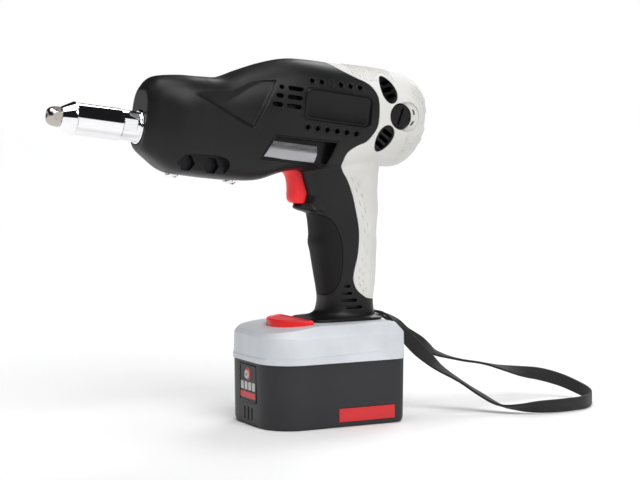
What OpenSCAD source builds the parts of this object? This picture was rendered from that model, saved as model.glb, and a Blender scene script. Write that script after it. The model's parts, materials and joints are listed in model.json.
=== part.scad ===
// Battery rivet tool: split housing, pulling nose, gear train, pistol grip and slide-on battery pack.
// Millimetres. The origin is the middle of the pack's base, the nose points along -X and +Z is up.

/* [Head] */
// height of the spindle axis above the base, measured over the origin
axis_height = 194.5; // [192:0.5:198]
// nose-up angle of the head against the base
head_tilt = 7; // [6:0.25:8]
// half width of the head at the motor
head_half_width = 33; // [33:0.5:36]
// wall of the moulded shells
shell_wall = 3; // [2.4:0.2:3]
// distance from the spindle axis up to the motor axis
motor_rise = 30; // [30:0.1:30.2]

/* [Nose] */
// outside diameter of the polished sleeve
sleeve_d = 22; // [21.4:0.2:24]
// length of the sleeve in front of the housing
sleeve_reach = 56; // [52:1:66]
// bore of the nosepiece, a little over the rivet's pin
pin_bore_d = 3.4; // [2.6:0.1:3.6]
// pulling stroke
stroke = 20; // [12:1:20]

/* [Trigger and selector] */
// width of the trigger
trigger_w = 15; // [12:0.5:16]
// travel of the trigger
trigger_travel = 6; // [4:0.5:6.5]
// travel of the selector slide
selector_travel = 8; // [6:0.5:8.5]

/* [Battery pack] */
// length of the pack
pack_l = 108; // [104:1:116]
// width of the pack
pack_w = 82; // [80:1:88]
// height of the split between the pack's dark case and its pale cover
pack_split = 46; // [45:0.5:48]
// diameter of one cell
cell_d = 18.4; // [17.6:0.1:18.6]
// room between a cell's end and the outside of the pack
cell_end_room = 8.5; // [8:0.25:10]
// room between the end of a cell strap and the outside of the pack
strap_end_room = 17.2; // [16:0.2:20]

/* [Strap] */
// width of the strap's webbing
strap_w = 10; // [8:0.5:10]
// thickness of the strap's webbing
strap_t = 1.8; // [1.4:0.1:2]

/* [Fits] */
// radial clearance of a shaft that turns in its bore
run_gap = 0.06; // [0.04:0.01:0.08]
// clearance between pieces that slide past each other
slide_gap = 0.4; // [0.3:0.05:0.5]
// visible seam between two housing pieces
seam_gap = 0.4; // [0.3:0.1:0.6]

/* [Hidden] */
pack_top = 72.4;
foot_z = pack_top + 0.3;
motor_r = 25;
gear_module = 1.25;
planet_module = 0.8;
sleeve_r = sleeve_d / 2;
cell_l = pack_w - 2 * cell_end_room;
pull_r = sleeve_r - 2.3;
sleeve_front = -137 - sleeve_reach;
jaw_angle = 12;
clamp_spots = [[-107, -20.5], [-89, -20.5]];
stud_spots = [-109, -65];
panel_mid = [-0.5, 30.3];
dimple_pitch = 7.7;
vent_rows = [26.8, 33, 39.2];
cap_spot = [49.5, 30.5];
pin_spot = [43.5, foot_z + 2.8];
screw_reach = 13.5;
pull_front = sleeve_front + 12;
pull_rear = pull_front + 36;
nut_recess = [[-115, -21], [-113, -16], [-108, -14], [-82, -14], [-78.5, -17], [-79, -32], [-112, -32]];
selector_plan = [[-48, 5.7], [1.7, 6.7], [-3.2, -11.8], [-57.3, -12.4]];

// rows of the head: distance along the spindle, half width, underside, top, roundness above and below
head_rows = [
    [-137, 14, -13, 26, 3, 3], [-135, 17, -16, 30, 3, 3], [-129, 21, -20, 36, 3, 3],
    [-114, 27.5, -28, 39, 2.9, 3],
    [-98, 29.5, -29, 40, 2.9, 3], [-82, 30, -29, 42, 2.8, 3.2], [-66, 30.5, -28.5, 49.5, 2.7, 3.6],
    [-50, 31, -26.5, 56.5, 2.6, 4], [-34, 31.5, -20, 61.5, 2.5, 4], [-18, 32, -16, 63, 2.4, 4],
    [4, 32.5, -15.5, 63.5, 2.3, 3.8], [30, 33, -11.5, 64.5, 2.25, 2.8], [50, 33, -6, 64.3, 2.2, 2.3],
    [62, 31, -4.5, 63, 2.2, 2.2], [70, 27, 0, 60, 2.2, 2.2], [76, 21, 7.5, 54, 2.2, 2.2],
    [79.5, 13, 16, 46, 2.2, 2.2], [81, 6, 24, 37, 2.2, 2.2]
];

// rows of the grip: height as a share of the grip, middle, half depth, half width and roundness
grip_rows = [
    [0, 18, 29, 33, 5], [0.016, 18, 29, 33, 5], [0.026, 18.3, 27.5, 31.5, 4.5],
    [0.042, 20.5, 24.5, 25, 3.2],
    [0.07, 23.2, 21.6, 20.4, 2.6], [0.12, 24.2, 20.6, 18.8, 2.5], [0.19, 24.4, 21.8, 18.5, 2.5],
    [0.29, 23.6, 23.6, 18.5, 2.5], [0.4, 22.6, 25, 19, 2.5], [0.55, 22, 25.8, 19.5, 2.5],
    [0.65, 21.4, 27, 20, 2.6], [0.76, 17.5, 29, 22, 3], [0.88, 15.5, 31, 25, 3], [1.02, 15, 33, 27, 2.6]
];
grip_h = axis_height - foot_z;
// the outlines below are drawn for this height of the spindle axis
axis_drawn = 194.5;
grip_post = [17, on_grip(96)];
cover_post = [38, on_grip(152)];

// seam between the black shells and the pale rear cover, seen from the side
cover_edge = [
    [1, 262], [4, 257], [10, 251.7], [18.5, 246.8], [28.9, 241.5], [33.8, 234.6], [34.8, 227.7],
    [33.5, 213.3], [29.6, 206.2], [23.9, 200.8], [17.3, 198.2], [10, 193.6], [7.5, 187], [8.5, 181],
    [14.4, 172], [19.7, 160.7], [23.8, 146.3], [25.5, 134], [24.7, 119.6], [22.2, 108.9], [21.4, 101.8],
    [23.9, 95.2], [29, 90.6], [36.5, 87.4], [60, 86], [120, 86], [120, 262]
];
// outline of the soft grip panel on each side of the grip
panel_edge = [
    [-20, 150.5], [-4.3, 150.2], [4.5, 145.4], [10.2, 134.5], [13.1, 120.1], [12.7, 105.8], [11, 97.3],
    [6.2, 90.5], [-2, 87.4], [-20, 87.4]
];
// route of the strap from the pin round its loop and back: place, then turn from lying flat
strap_route = [
    [41.6, 0, 76.2, 0], [42.3, 0, 77.1, 0], [43.5, 0, 77.5, 0], [48, 0, 76.8, 0], [54, 0, 75.2, 0],
    [62, 0.5, 71.5, 20], [70, 1, 65, 60], [76, 1.4, 58.5, 90], [89, 2, 51, 80], [99, 3, 45, 50],
    [108, 4, 40.5, 20], [128, 6, 34.5, 0], [148, 8, 30.5, 0], [167, 9, 25.5, 15], [185, 9, 21.5, 45],
    [202, 6, 18.5, 75], [216, -2, 14, 90], [224, -14, 9, 90], [224, -27, 6.4, 90], [217, -40, 5.4, 90],
    [205, -52, 5.4, 90], [192, -58, 5.4, 90], [174, -60, 5.4, 90], [157, -58, 5.4, 70],
    [145, -50, 4.6, 35], [134, -40, 5.8, 10], [123, -29, 13.5, 0], [111, -20, 23, 0],
    [99, -12, 32, -20], [92, -7.5, 39, -50], [84, -3.5, 47, -80], [77, -1.4, 55, -90],
    [70, -1, 62, -60], [62, -0.5, 68.6, -20], [54, 0, 72.9, 0], [48, 0, 74, 0], [43.5, 0, 73.5, 0],
    [42.3, 0, 73.9, 0], [41.6, 0, 74.8, 0]
];

// Shape helpers

// a drawn height that goes with the head, and one that keeps its share of the grip
function on_head(z) = z + axis_height - axis_drawn;
function on_grip(z) = foot_z + (z - foot_z) * grip_h / (axis_drawn - foot_z);
function drawn_edge(points) = [for (p = points) [p[0], p[1] > 176 ? on_head(p[1]) : on_grip(p[1])]];

function round_point(a, n) =
    [sign(cos(a)) * pow(abs(cos(a)), 2 / n), sign(sin(a)) * pow(abs(sin(a)), 2 / n)];

// value of a smooth curve through four numbers or rows
function smooth(a, b, c, d, t) =
    b + (c - a) * (t / 2) + (2 * a - 5 * b + 4 * c - d) * (t * t / 2)
    + (3 * b - a - 3 * c + d) * (t * t * t / 2);

// rows with the given number of smooth steps between neighbours
function fine_rows(rows, steps) = [
    for (i = [0:len(rows) - 2], k = [0:steps - 1])
        smooth(rows[max(i - 1, 0)], rows[i], rows[i + 1], rows[min(i + 2, len(rows) - 1)], k / steps),
    rows[len(rows) - 1]
];

module loft(rings) {
    n = len(rings[0]);
    m = len(rings);
    polyhedron(
        points = [for (r = rings) for (p = r) p],
        faces = concat(
            [[for (j = [0:n - 1]) j]],
            [for (i = [0:m - 2], j = [0:n - 1], k = [0, 1])
                let (a = i * n + j, b = i * n + (j + 1) % n)
                k == 0 ? [b, a, a + n] : [b, a + n, b + n]],
            [[for (j = [n - 1:-1:0]) (m - 1) * n + j]]
        )
    );
}

// rounded rectangle as points, with one radius for the front corners and one for the rear
function plan_points(x0, x1, half_w, rf, rr, n) = [
    for (q = [[x1 - rr, half_w - rr, rr, 0], [x0 + rf, half_w - rf, rf, 90],
              [x0 + rf, rf - half_w, rf, 180], [x1 - rr, rr - half_w, rr, 270]])
        for (k = [0:n]) [q[0] + q[2] * cos(q[3] + 90 * k / n), q[1] + q[2] * sin(q[3] + 90 * k / n)]
];

function at_height(points, z) = [for (p = points) [p[0], p[1], z]];

module in_head() {
    translate([0, 0, axis_height]) rotate([0, head_tilt, 0]) children();
}

// turns what is drawn along +Z so that it runs back along the spindle, its drawing's X pointing up
module along_spindle(u, rise = 0) {
    translate([u, 0, rise]) rotate([0, 90, 0]) rotate([0, 0, 180]) children();
}

// extrudes a side view, drawn as along and up, between two distances from the middle
module side_cut(y0, y1) {
    translate([0, y1, 0]) rotate([90, 0, 0]) linear_extrude(y1 - y0) children();
}

module rod_across(spot, r, y0, y1, sides = 12) {
    translate([spot[0], y1, spot[1]]) rotate([90, 0, 0]) cylinder(r = r, h = y1 - y0, $fn = sides);
}

module slot_across(a, b, r, y0, y1) {
    hull() {
        rod_across(a, r, y0, y1, 8);
        rod_across(b, r, y0, y1, 8);
    }
}

module tube_along(u0, u1, r_out, r_in) {
    along_spindle(u0) difference() {
        cylinder(r = r_out, h = u1 - u0, $fn = 48);
        translate([0, 0, -1]) cylinder(r = r_in, h = u1 - u0 + 2, $fn = 48);
    }
}

// Gear teeth: an involute flank with backlash taken off both sides

function involute(base_r, r) =
    r <= base_r ? 0 : sqrt(r * r / (base_r * base_r) - 1) * 180 / PI - acos(base_r / r);

function gear_points(teeth, m, tip, root, slack) =
    let (rp = m * teeth / 2, rb = rp * cos(20), r0 = rp - root * m, r1 = rp + tip * m,
        half = 90 / teeth - slack / rp * 90 / PI + involute(rb, rp),
        radii = [r0, max(r0 + 0.02, rb), (max(r0, rb) + rp) / 2 + 0.02, rp + 0.1 * m, r1])
    [for (i = [0:teeth - 1]) each concat(
        [for (r = radii) let (a = 360 * i / teeth - half + involute(rb, r)) [r * cos(a), r * sin(a)]],
        [for (k = [4:-1:0]) let (r = radii[k], a = 360 * i / teeth + half - involute(rb, r))
            [r * cos(a), r * sin(a)]])];

// Housing

function head_ring(row, cut, n) =
    let (w = max(row[1] * head_half_width / 33 - cut, 2), low = row[2] + cut, high = row[3] - cut,
        u = -137 + cut + (row[0] + 137) * (218 - 2 * cut) / 218,
        mid = (low + high) / 2, rise = max(high - mid, 2))
    [for (j = [0:n - 1]) let (q = round_point(360 * j / n, 2 * j <= n ? row[4] : row[5]))
        [u, w * q[0], mid + rise * q[1]]];

function grip_ring(row, cut, n) =
    let (z = foot_z + row[0] * grip_h)
    [for (j = [0:n - 1]) let (q = round_point(360 * j / n, row[4]))
        [row[1] + (row[2] - cut) * q[0], (row[3] - cut) * q[1], z]];

module head_form(cut = 0, steps = 1, n = 16) {
    in_head() loft([for (r = fine_rows(head_rows, steps)) head_ring(r, cut, n)]);
}

module grip_form(cut = 0, n = 20, low = 0) {
    loft([for (i = [low:len(grip_rows) - 1]) grip_ring(grip_rows[i], cut, n)]);
}

// ledge under the trigger that the finger rests against
module finger_ledge() {
    hull() {
        rod_across([-9.5, on_head(153.8)], 2.2, -9, 9, 16);
        rod_across([4, on_head(150)], 5, -14, 14, 16);
    }
}

module outer_form() {
    head_form(0, 2, 28);
    grip_form(0, 24);
    finger_ledge();
}

module inner_form() {
    head_form(shell_wall);
    grip_form(shell_wall, 16, 5);
}

module rear_zone(grow) {
    side_cut(-60, 60) offset(delta = grow) polygon(drawn_edge(cover_edge));
}

// posts that carry the long housing screws: spots in the side view
module head_posts(r, y0, y1) {
    in_head() {
        rod_across([-120, 27], r, y0, y1);
        rod_across([-70, 38], r, y0, y1);
    }
    rod_across(grip_post, r, y0, y1);
}

module cover_posts(r, y0, y1) {
    in_head() rod_across([72, 13], r, y0, y1);
    rod_across(cover_post, r, y0, y1);
}

// ring ribs that hold the motor and the gear case
module motor_ribs(spots, r) {
    in_head() for (u = spots) along_spindle(u, motor_rise) difference() {
        cylinder(r = r + 12, h = 2.4, $fn = 12);
        translate([0, 0, -1]) cylinder(r = r + 0.3, h = 5, $fn = 28);
    }
}

// triangular scoop in the side of the head: its floor leans in towards the top, within the skin
module side_scoop() {
    difference() {
        in_head() translate([0, -28.9, 8]) rotate([-9.5, 0, 0]) translate([0, 0, -8]) side_cut(-20, 0)
            polygon([[-117, 27.5], [-112, 29.5], [-90, 32], [-66, 39], [-48, 44], [-64, 8]]);
        head_form(shell_wall - 1.4);
    }
}

module head_openings() {
    in_head() {
        side_cut(-50, -30.9 * head_half_width / 33) translate(panel_mid)
            polygon(plan_points(-26, 26, 10.6, 4, 4, 3));
        for (i = [0:5]) {
            rod_across([-23.8 + dimple_pitch * i, 46.3], 2, -50, -26.6 * head_half_width / 33, 8);
            rod_across([-23.8 + dimple_pitch * i, 13.5], 2, -50, -27.4 * head_half_width / 33, 8);
        }
        for (i = [0:2]) {
            slot_across([-50.9 + 2.55 * i, vent_rows[i]], [-46.1 + 0.3 * i, vent_rows[i]], 1.65, -50, -20);
            slot_across([-40.2 + 0.4 * i, vent_rows[i]], [-31.8 + 0.4 * i, vent_rows[i]], 1.6, -50, -20);
        }
        side_cut(-50, -20.5) polygon(nut_recess);
    }
    for (i = [0:3])
        slot_across([13 - (i % 2), on_grip(97.3 - 5 * i)], [19 + 2.6 * i, on_grip(97.3 - 5 * i)],
            1, -50, -12);
    difference() {
        side_cut(-50, 1) polygon(drawn_edge(panel_edge));
        grip_form(1.6, 24, 4);
    }
}

module half_shell() {
    difference() {
        union() {
            difference() {
                outer_form();
                inner_form();
            }
            intersection() {
                head_form(1);
                union() {
                    in_head() for (s = clamp_spots) rod_across(s, 8.5, -40, -9.2, 16);
                    in_head() side_cut(-40, -17.5) offset(delta = 3) polygon(nut_recess);
                    head_posts(4, -40, 0);
                    motor_ribs([-30], 23);
                    motor_ribs([4], motor_r);
                }
            }
            intersection() {
                grip_form(1, 16, 5);
                union() {
                    head_posts(4, -40, 0);
                    for (z = [150, 170]) translate([4, -40, on_head(z)]) cube([20, 30.7, 3]);
                }
            }
        }
        rear_zone(seam_gap / 2);
        side_scoop();
        head_openings();
        translate([-300, 0, -10]) cube([500, 100, 400]);
        in_head() along_spindle(-145) cylinder(r = sleeve_r + 1.2, h = 20, $fn = 32);
        in_head() for (s = clamp_spots) rod_across(s, 3.4, -40, 1, 12);
        head_posts(1.65, -screw_reach - 1.5, 1);
        translate([-29.5, -trigger_w / 2 - 0.6, on_head(156.6)]) cube([34.5, 60, 25.4]);
        for (u = stud_spots) in_head() translate([u, 0, -40]) cylinder(r = 3.05, h = 13.6, $fn = 20);
        in_head() along_spindle(-120) cylinder(r = 16.9, h = 55, $fn = 32);
        in_head() along_spindle(-60) cylinder(r = 6.6, h = 70, $fn = 24);
        translate([40.2, -6.5, foot_z - 1]) cube([12, 20, 7]);
        rod_across(pin_spot, 1.05, -9, 1, 12);
    }
}

module left_shell() {
    color([0.1, 0.1, 0.11]) difference() {
        union() {
            half_shell();
            rail_half(-1);
        }
        in_head() for (s = clamp_spots) rod_across(s, 5.9, -40, -11.3, 6);
        in_head() side_cut(-50, -18) polygon(selector_plan);
        rail_contacts_room();
    }
}

module right_shell() {
    color([0.1, 0.1, 0.11]) difference() {
        union() {
            mirror([0, 1, 0]) half_shell();
            rail_half(1);
        }
        in_head() for (s = clamp_spots) rod_across(s, 5.6, 11.3, 40, 16);
        head_posts(3.6, 12, 60);
        rail_contacts_room();
    }
}

// rail under the foot that the pack slides onto
module rail_half(side) {
    mirror([0, side > 0 ? 1 : 0, 0]) {
        translate([-6, -13, foot_z - 3.4]) cube([44, 13, 3.6]);
        translate([-6, -18, foot_z - 7]) cube([44, 18, 3.7]);
    }
}

module rail_contacts_room() {
    for (y = [-11, 0, 11]) translate([-2, y - 2.05, foot_z - 8]) cube([30.1, 4.1, 1.81]);
}

module half_cover() {
    difference() {
        union() {
            difference() {
                outer_form();
                inner_form();
            }
            intersection() {
                head_form(1);
                union() {
                    cover_posts(4, -40, 0);
                    motor_ribs([38, 58], motor_r);
                    in_head() rod_across(cap_spot, 9, -40, -25.2, 24);
                }
            }
            intersection() {
                grip_form(1, 16, 5);
                cover_posts(4, -40, 0);
            }
        }
        difference() {
            translate([-200, -100, 0]) cube([400, 200, 300]);
            rear_zone(-seam_gap / 2);
        }
        translate([-300, 0, -10]) cube([500, 100, 400]);
        cover_posts(1.65, -screw_reach - 1.5, 1);
        in_head() {
            rod_across(cap_spot, 9.6, -50, -28.2, 32);
            rod_across(cap_spot, 6.4, -50, -10, 24);
            slot_across(cap_spot, [55, 31.2], 9, -50, -29.2);
            rod_across([63, 37], 1.1, -50, -24, 8);
            rod_across([63.5, 27], 1.1, -50, -24, 8);
        }
        grille_rooms(0.15);
        for (i = [0:6])
            slot_across([41, on_grip(100 + 10 * i)], [41.5, on_grip(105 + 10 * i)], 0.6, -20, -13.4);
        for (i = [0:3]) in_head() slot_across([26 + 8 * i, 60], [30 + 8 * i, 56], 0.7, -26, -14);
    }
}

module left_cover() {
    color([0.86, 0.85, 0.81]) half_cover();
}

module right_cover() {
    color([0.86, 0.85, 0.81]) difference() {
        mirror([0, 1, 0]) half_cover();
        cover_posts(3.6, 11, 60);
    }
}

// oval vent inserts above and below the brush cap
module grille_plan(low, grow) {
    translate([37.5, low ? 13.2 : 48.2]) rotate(low ? 54 : -60)
        polygon([for (a = [0:30:330]) [((low ? 10.2 : 9.6) + grow) * cos(a), (6.2 + grow) * sin(a)]]);
}

module grille_rooms(grow) {
    in_head() for (low = [true, false]) side_cut(-50, -15) grille_plan(low, grow);
}

module grilles_left() {
    intersection() {
        difference() {
            head_form(0.6, 2, 28);
            head_form(shell_wall + 0.8);
        }
        in_head() difference() {
            for (low = [true, false]) side_cut(-50, -10) grille_plan(low, 0);
            for (i = [0:2]) {
                slot_across([37.5 - 2.4 * i, 18.5 - 3.9 * i], [42.3 - 2.4 * i, 16 - 3.9 * i], 1.4, -50, -10);
                slot_across([33.6 + 2.2 * i, 50.6 - 3.9 * i], [38.2 + 2.2 * i, 53.4 - 3.9 * i],
                    1.4, -50, -10);
            }
        }
    }
}

module vent_grilles() {
    color([0.12, 0.12, 0.13]) {
        grilles_left();
        mirror([0, 1, 0]) grilles_left();
    }
}

module half_grip_panel() {
    intersection() {
        difference() {
            grip_form(0, 24, 4);
            grip_form(1.5, 24, 4);
        }
        side_cut(-50, -0.1) offset(delta = -seam_gap) polygon(drawn_edge(panel_edge));
    }
}

module left_grip() {
    color([0.16, 0.16, 0.17]) half_grip_panel();
}

module right_grip() {
    color([0.16, 0.16, 0.17]) mirror([0, 1, 0]) half_grip_panel();
}

// Fasteners of the housing: screws come in from the right

module long_screw(r_head, seat) {
    rod_across([0, 0], r_head, seat, seat + 2.6, 24);
    rod_across([0, 0], 1.5, -screw_reach, seat, 16);
}

module shell_screws() {
    color([0.55, 0.55, 0.57]) {
        in_head() for (s = [[-120, 27], [-70, 38], [72, 13]])
            translate([s[0], 0, s[1]]) long_screw(3.2, 12.1);
        for (s = [grip_post, cover_post]) translate([s[0], 0, s[1]]) long_screw(3.2, 12.1);
    }
}

module clamp_bolts() {
    color([0.5, 0.5, 0.52]) in_head() for (s = clamp_spots) {
        difference() {
            rod_across(s, 5, 11.4, 16.4, 32);
            rod_across(s, 2.9, 13.9, 17, 6);
        }
        rod_across(s, 3, -16, 11.5, 24);
    }
}

module clamp_nuts() {
    color([0.5, 0.5, 0.52]) in_head() for (s = clamp_spots) difference() {
        rod_across(s, 5.7, -16.3, -11.4, 6);
        rod_across(s, 3.02, -18, -11, 24);
    }
}

module rest_studs() {
    color([0.8, 0.8, 0.82]) in_head() for (u = stud_spots) translate([u, 0, -31.2]) {
        cylinder(r1 = 4, r2 = 5, h = 1.2, $fn = 32);
        translate([0, 0, 1.2]) cylinder(r = 5, h = 1, $fn = 32);
        translate([0, 0, 2.2]) cylinder(r = 3, h = 2.4, $fn = 24);
    }
}

// Selector slide in its guide frame

module selector_slice(cut, back, inset) {
    intersection() {
        head_form(cut, 2, 28);
        in_head() side_cut(-50, back) offset(delta = -inset) polygon(selector_plan);
    }
}

module selector_frame() {
    color([0.07, 0.07, 0.08]) difference() {
        selector_slice(0, -21.8, 0.2);
        in_head() side_cut(-50, -22.8) offset(delta = -1.4) polygon(selector_plan);
    }
}

module selector() {
    color([0.78, 0.79, 0.8]) intersection() {
        difference() {
            selector_slice(0.6, -22.8 - slide_gap, 1.4 + slide_gap);
            difference() {
                in_head() translate([-90, -60, -40]) cube([90 - 7.2 - selector_travel, 60, 80]);
                selector_slice(2, -10, 0);
                in_head() difference() {
                    translate([-90, -60, -40]) cube([90, 60, 80]);
                    side_cut(-60, 0) offset(delta = -3 - slide_gap) polygon(selector_plan);
                }
            }
        }
        in_head() translate([-90, -60, -40]) cube([90 - 5.6 - selector_travel, 60, 80]);
    }
}

// Trigger and what it works

module trigger() {
    color([0.82, 0.09, 0.08]) translate([0, 0, on_head(0)]) {
        intersection() {
            side_cut(-trigger_w / 2, trigger_w / 2) polygon([[-27.5, 181.4], [-25.6, 176.4], [-23, 171],
                [-22.4, 166.5], [-22, 161.5], [-21, 158.8], [-19, 157.4], [-16.5, 157], [-2, 157],
                [-2, 181.4]]);
            hull() {
                for (x = [-19.5, 0], y = [-1, 1]) translate([x, y * (trigger_w / 2 - 5), 150])
                    cylinder(r = 5, h = 40, $fn = 24);
                translate([-28.5, -3, 150]) cube([1, 6, 40]);
            }
        }
        translate([-2.5, 0, 164]) rotate([0, 90, 0]) cylinder(r = 2.5, h = 10, $fn = 24);
    }
}

module trigger_switch() {
    color([0.13, 0.13, 0.14]) translate([0, 0, on_head(0)]) difference() {
        translate([5.2, -9, 153]) cube([27, 18, 22]);
        translate([4, 0, 164]) rotate([0, 90, 0])
            cylinder(r = 2.5 + run_gap, h = 5 + trigger_travel, $fn = 24);
    }
}

module control_board() {
    color([0.1, 0.3, 0.18]) {
        translate([9, 5, on_grip(103)]) cube([24, 1.6, on_head(153) - on_grip(103)]);
        translate([12, -1.5, on_grip(108)]) cube([12, 6.5, 9]);
        translate([12, 0, on_grip(122)]) cube([16, 5, 6]);
        translate([20, 2, on_head(136)]) cube([9, 3, 9]);
    }
}

// Foot, contacts and strap

module foot_contacts() {
    color([0.8, 0.65, 0.3]) for (y = [-11, 0, 11])
        translate([-1.9, y - 2, foot_z - 7]) cube([29.9, 4, 0.8]);
}

module strap_pin() {
    color([0.6, 0.6, 0.62]) rod_across(pin_spot, 1, -8.9, 8.9, 20);
}

// one ring of the strap's flat section, turned about its run
function strap_ring(row, ahead) =
    let (p = [row[0], row[1], row[2]], f = ahead / norm(ahead),
        flat = [-f[1], f[0], 0] / norm([f[0], f[1]]),
        wide = cos(row[3]) * flat + sin(row[3]) * cross(f, flat),
        thin = cross(f, wide), w = strap_w / 2, t = strap_t / 2)
    [for (q = [[1, 0.6], [0.93, 1], [-0.93, 1], [-1, 0.6], [-1, -0.6], [-0.93, -1], [0.93, -1], [1, -0.6]])
        p + wide * (w * q[0]) + thin * (t * q[1])];

module strap() {
    rows = fine_rows(strap_route, 2);
    last = len(rows) - 1;
    spots = [for (q = rows) [q[0], q[1], q[2]]];
    color([0.06, 0.06, 0.06])
        loft([for (i = [0:last]) strap_ring(rows[i], spots[min(i + 1, last)] - spots[max(i - 1, 0)])]);
}

// Nose

module carrier() {
    color([0.6, 0.6, 0.62]) in_head() difference() {
        union() {
            tube_along(-133.6, -122, sleeve_r + 0.9, 4);
            tube_along(-122.5, -66, 16.5, 4);
            translate([-112, -9, -23.8]) cube([28, 18, 14]);
        }
        along_spindle(-140) cylinder(r = sleeve_r - 1 + 0.03, h = 20, $fn = 48);
        along_spindle(-125) cylinder(r = pull_r + 0.5, h = 35, $fn = 48);
        along_spindle(-92) cylinder(r = 12.6, h = 30, $fn = 48);
        for (s = clamp_spots) rod_across(s, 3.1, -20, 20, 24);
    }
}

module lock_ring() {
    color([0.8, 0.8, 0.82]) in_head() tube_along(-139.6, -133.8, sleeve_r + 0.8, sleeve_r - 0.97);
}

module sleeve() {
    color([0.83, 0.84, 0.86]) in_head() along_spindle(sleeve_front) difference() {
        rotate_extrude($fn = 64) polygon([[0, 0], [6.6, 0], [7.2, 0.6], [sleeve_r + 0.5, 8.6],
            [sleeve_r + 0.5, 9.3], [sleeve_r, 9.8], [sleeve_r, sleeve_reach - 14.5],
            [sleeve_r - 0.5, sleeve_reach - 14], [sleeve_r - 0.5, sleeve_reach - 2.7],
            [sleeve_r - 1, sleeve_reach - 2.7], [sleeve_r - 1, sleeve_reach + 16], [0, sleeve_reach + 16]]);
        translate([0, 0, -1]) cylinder(r = 5.03, h = 20, $fn = 48);
        translate([0, 0, 9]) cylinder(r = pull_r + 0.3, h = sleeve_reach + 10, $fn = 48);
        for (a = [90, 270]) rotate([0, 0, a])
            translate([sleeve_r - 1.5, -20, sleeve_reach - 13.4]) cube([10, 40, 9.4]);
    }
}

module nosepiece() {
    color([0.72, 0.72, 0.74]) in_head() along_spindle(sleeve_front) difference() {
        union() {
            intersection() {
                translate([0, 0, -9]) cylinder(r = 6.9, h = 9, $fn = 6);
                rotate_extrude($fn = 48) polygon([[0, -9], [3.4, -9], [4.9, -8.3], [5.8, -7], [6.5, -4.8],
                    [6.8, -0.8], [6.2, 0], [0, 0]]);
            }
            cylinder(r = 5, h = 8.8, $fn = 48);
            translate([0, 0, 8.8]) cylinder(r1 = 4.6, r2 = 3.4, h = 3.6, $fn = 48);
        }
        translate([0, 0, -10]) cylinder(r = pin_bore_d / 2, h = 24, $fn = 48);
    }
}

// Pulling head: housing, three wedge jaws, pusher and spring

module jaw_housing() {
    color([0.4, 0.4, 0.42]) in_head() along_spindle(pull_front) difference() {
        cylinder(r = pull_r, h = 36, $fn = 48);
        translate([0, 0, -0.01]) cylinder(r1 = 4.4, r2 = 4.4 + 13 * tan(jaw_angle), h = 13.01, $fn = 48);
        translate([0, 0, 12.9]) cylinder(r = 4.4 + 13 * tan(jaw_angle), h = 17.1, $fn = 48);
        translate([0, 0, 29]) cylinder(r = 5.02, h = 8, $fn = 48);
    }
}

module jaw(k) {
    color([0.35, 0.35, 0.36]) in_head() along_spindle(pull_front) rotate([0, 0, 120 * k + 6])
        rotate_extrude(angle = 108, $fn = 48) polygon([[pin_bore_d / 2 + 0.3, 1.5],
            [4.2 + 1.5 * tan(jaw_angle), 1.5], [4.2 + 11.5 * tan(jaw_angle), 11.5],
            [pin_bore_d / 2 + 0.3, 11.5]]);
}

module jaw_1() {
    jaw(0);
}

module jaw_2() {
    jaw(1);
}

module jaw_3() {
    jaw(2);
}

module jaw_pusher() {
    color([0.5, 0.5, 0.52]) in_head() along_spindle(pull_front + 11.6) difference() {
        cylinder(r = 6.2, h = 5, $fn = 48);
        translate([0, 0, -1]) cylinder(r = 2.4, h = 7, $fn = 32);
    }
}

// coil spring along +Z from its foot
module coil(r, wire, h, turns) {
    steps = turns * 10;
    loft([for (i = [0:steps])
        let (a = 36 * i, z = wire + (h - 2 * wire) * i / steps)
        [for (j = [0:5]) let (q = r + wire * cos(60 * j))
            [q * cos(a), q * sin(a), z + wire * sin(60 * j)]]]);
}

module jaw_spring() {
    color([0.6, 0.6, 0.62]) in_head() along_spindle(pull_front + 16.7) coil(5, 0.6, 12.8, 5);
}

module spindle() {
    color([0.5, 0.5, 0.52]) in_head() along_spindle(pull_front + 29.6) difference() {
        cylinder(r = 5, h = -30 - (pull_front + 29.6), $fn = 48);
        for (i = [0:17]) translate([0, 0, -36 - 3.6 * i - (pull_front + 29.6)]) difference() {
            cylinder(r = 6, h = 1.6, $fn = 48);
            translate([0, 0, -1]) cylinder(r = 4.4, h = 4, $fn = 48);
        }
    }
}

// Gear train between the motor and the spindle's nut

module gear_plate() {
    color([0.58, 0.58, 0.6]) in_head() difference() {
        union() {
            along_spindle(-66) cylinder(r = 19, h = 5, $fn = 48);
            along_spindle(-66, motor_rise) cylinder(r = 9, h = 5, $fn = 48);
            translate([-66, -8, 0]) cube([5, 16, motor_rise]);
        }
        along_spindle(-67) cylinder(r = 12 + run_gap, h = 8, $fn = 48);
        along_spindle(-67, motor_rise) cylinder(r = 4 + run_gap, h = 8, $fn = 32);
    }
}

module thrust_bearing() {
    color([0.66, 0.66, 0.68]) in_head() {
        tube_along(-60.9, -59.9, 18.5, 12.4);
        tube_along(-58.6, -57.6, 18.5, 12.4);
        for (a = [0:36:324]) along_spindle(-59.25) rotate([0, 0, a]) translate([15.4, 0, 0])
            cylinder(r = 1.2, h = 1.3, center = true, $fn = 16);
    }
}

module nut_bearing() {
    color([0.66, 0.66, 0.68]) in_head() tube_along(-44.4, -40.4, 17, 12 + run_gap);
}

module nut_gear() {
    color([0.56, 0.52, 0.4]) in_head() difference() {
        union() {
            along_spindle(-78) cylinder(r = 12, h = 38, $fn = 48);
            along_spindle(-57.5) cylinder(r = 16, h = 2.6, $fn = 48);
            along_spindle(-55) linear_extrude(10) polygon(gear_points(32, gear_module, 1, 1.25, 0.12));
        }
        along_spindle(-79) cylinder(r = 5 + run_gap, h = 40, $fn = 48);
    }
}

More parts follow.
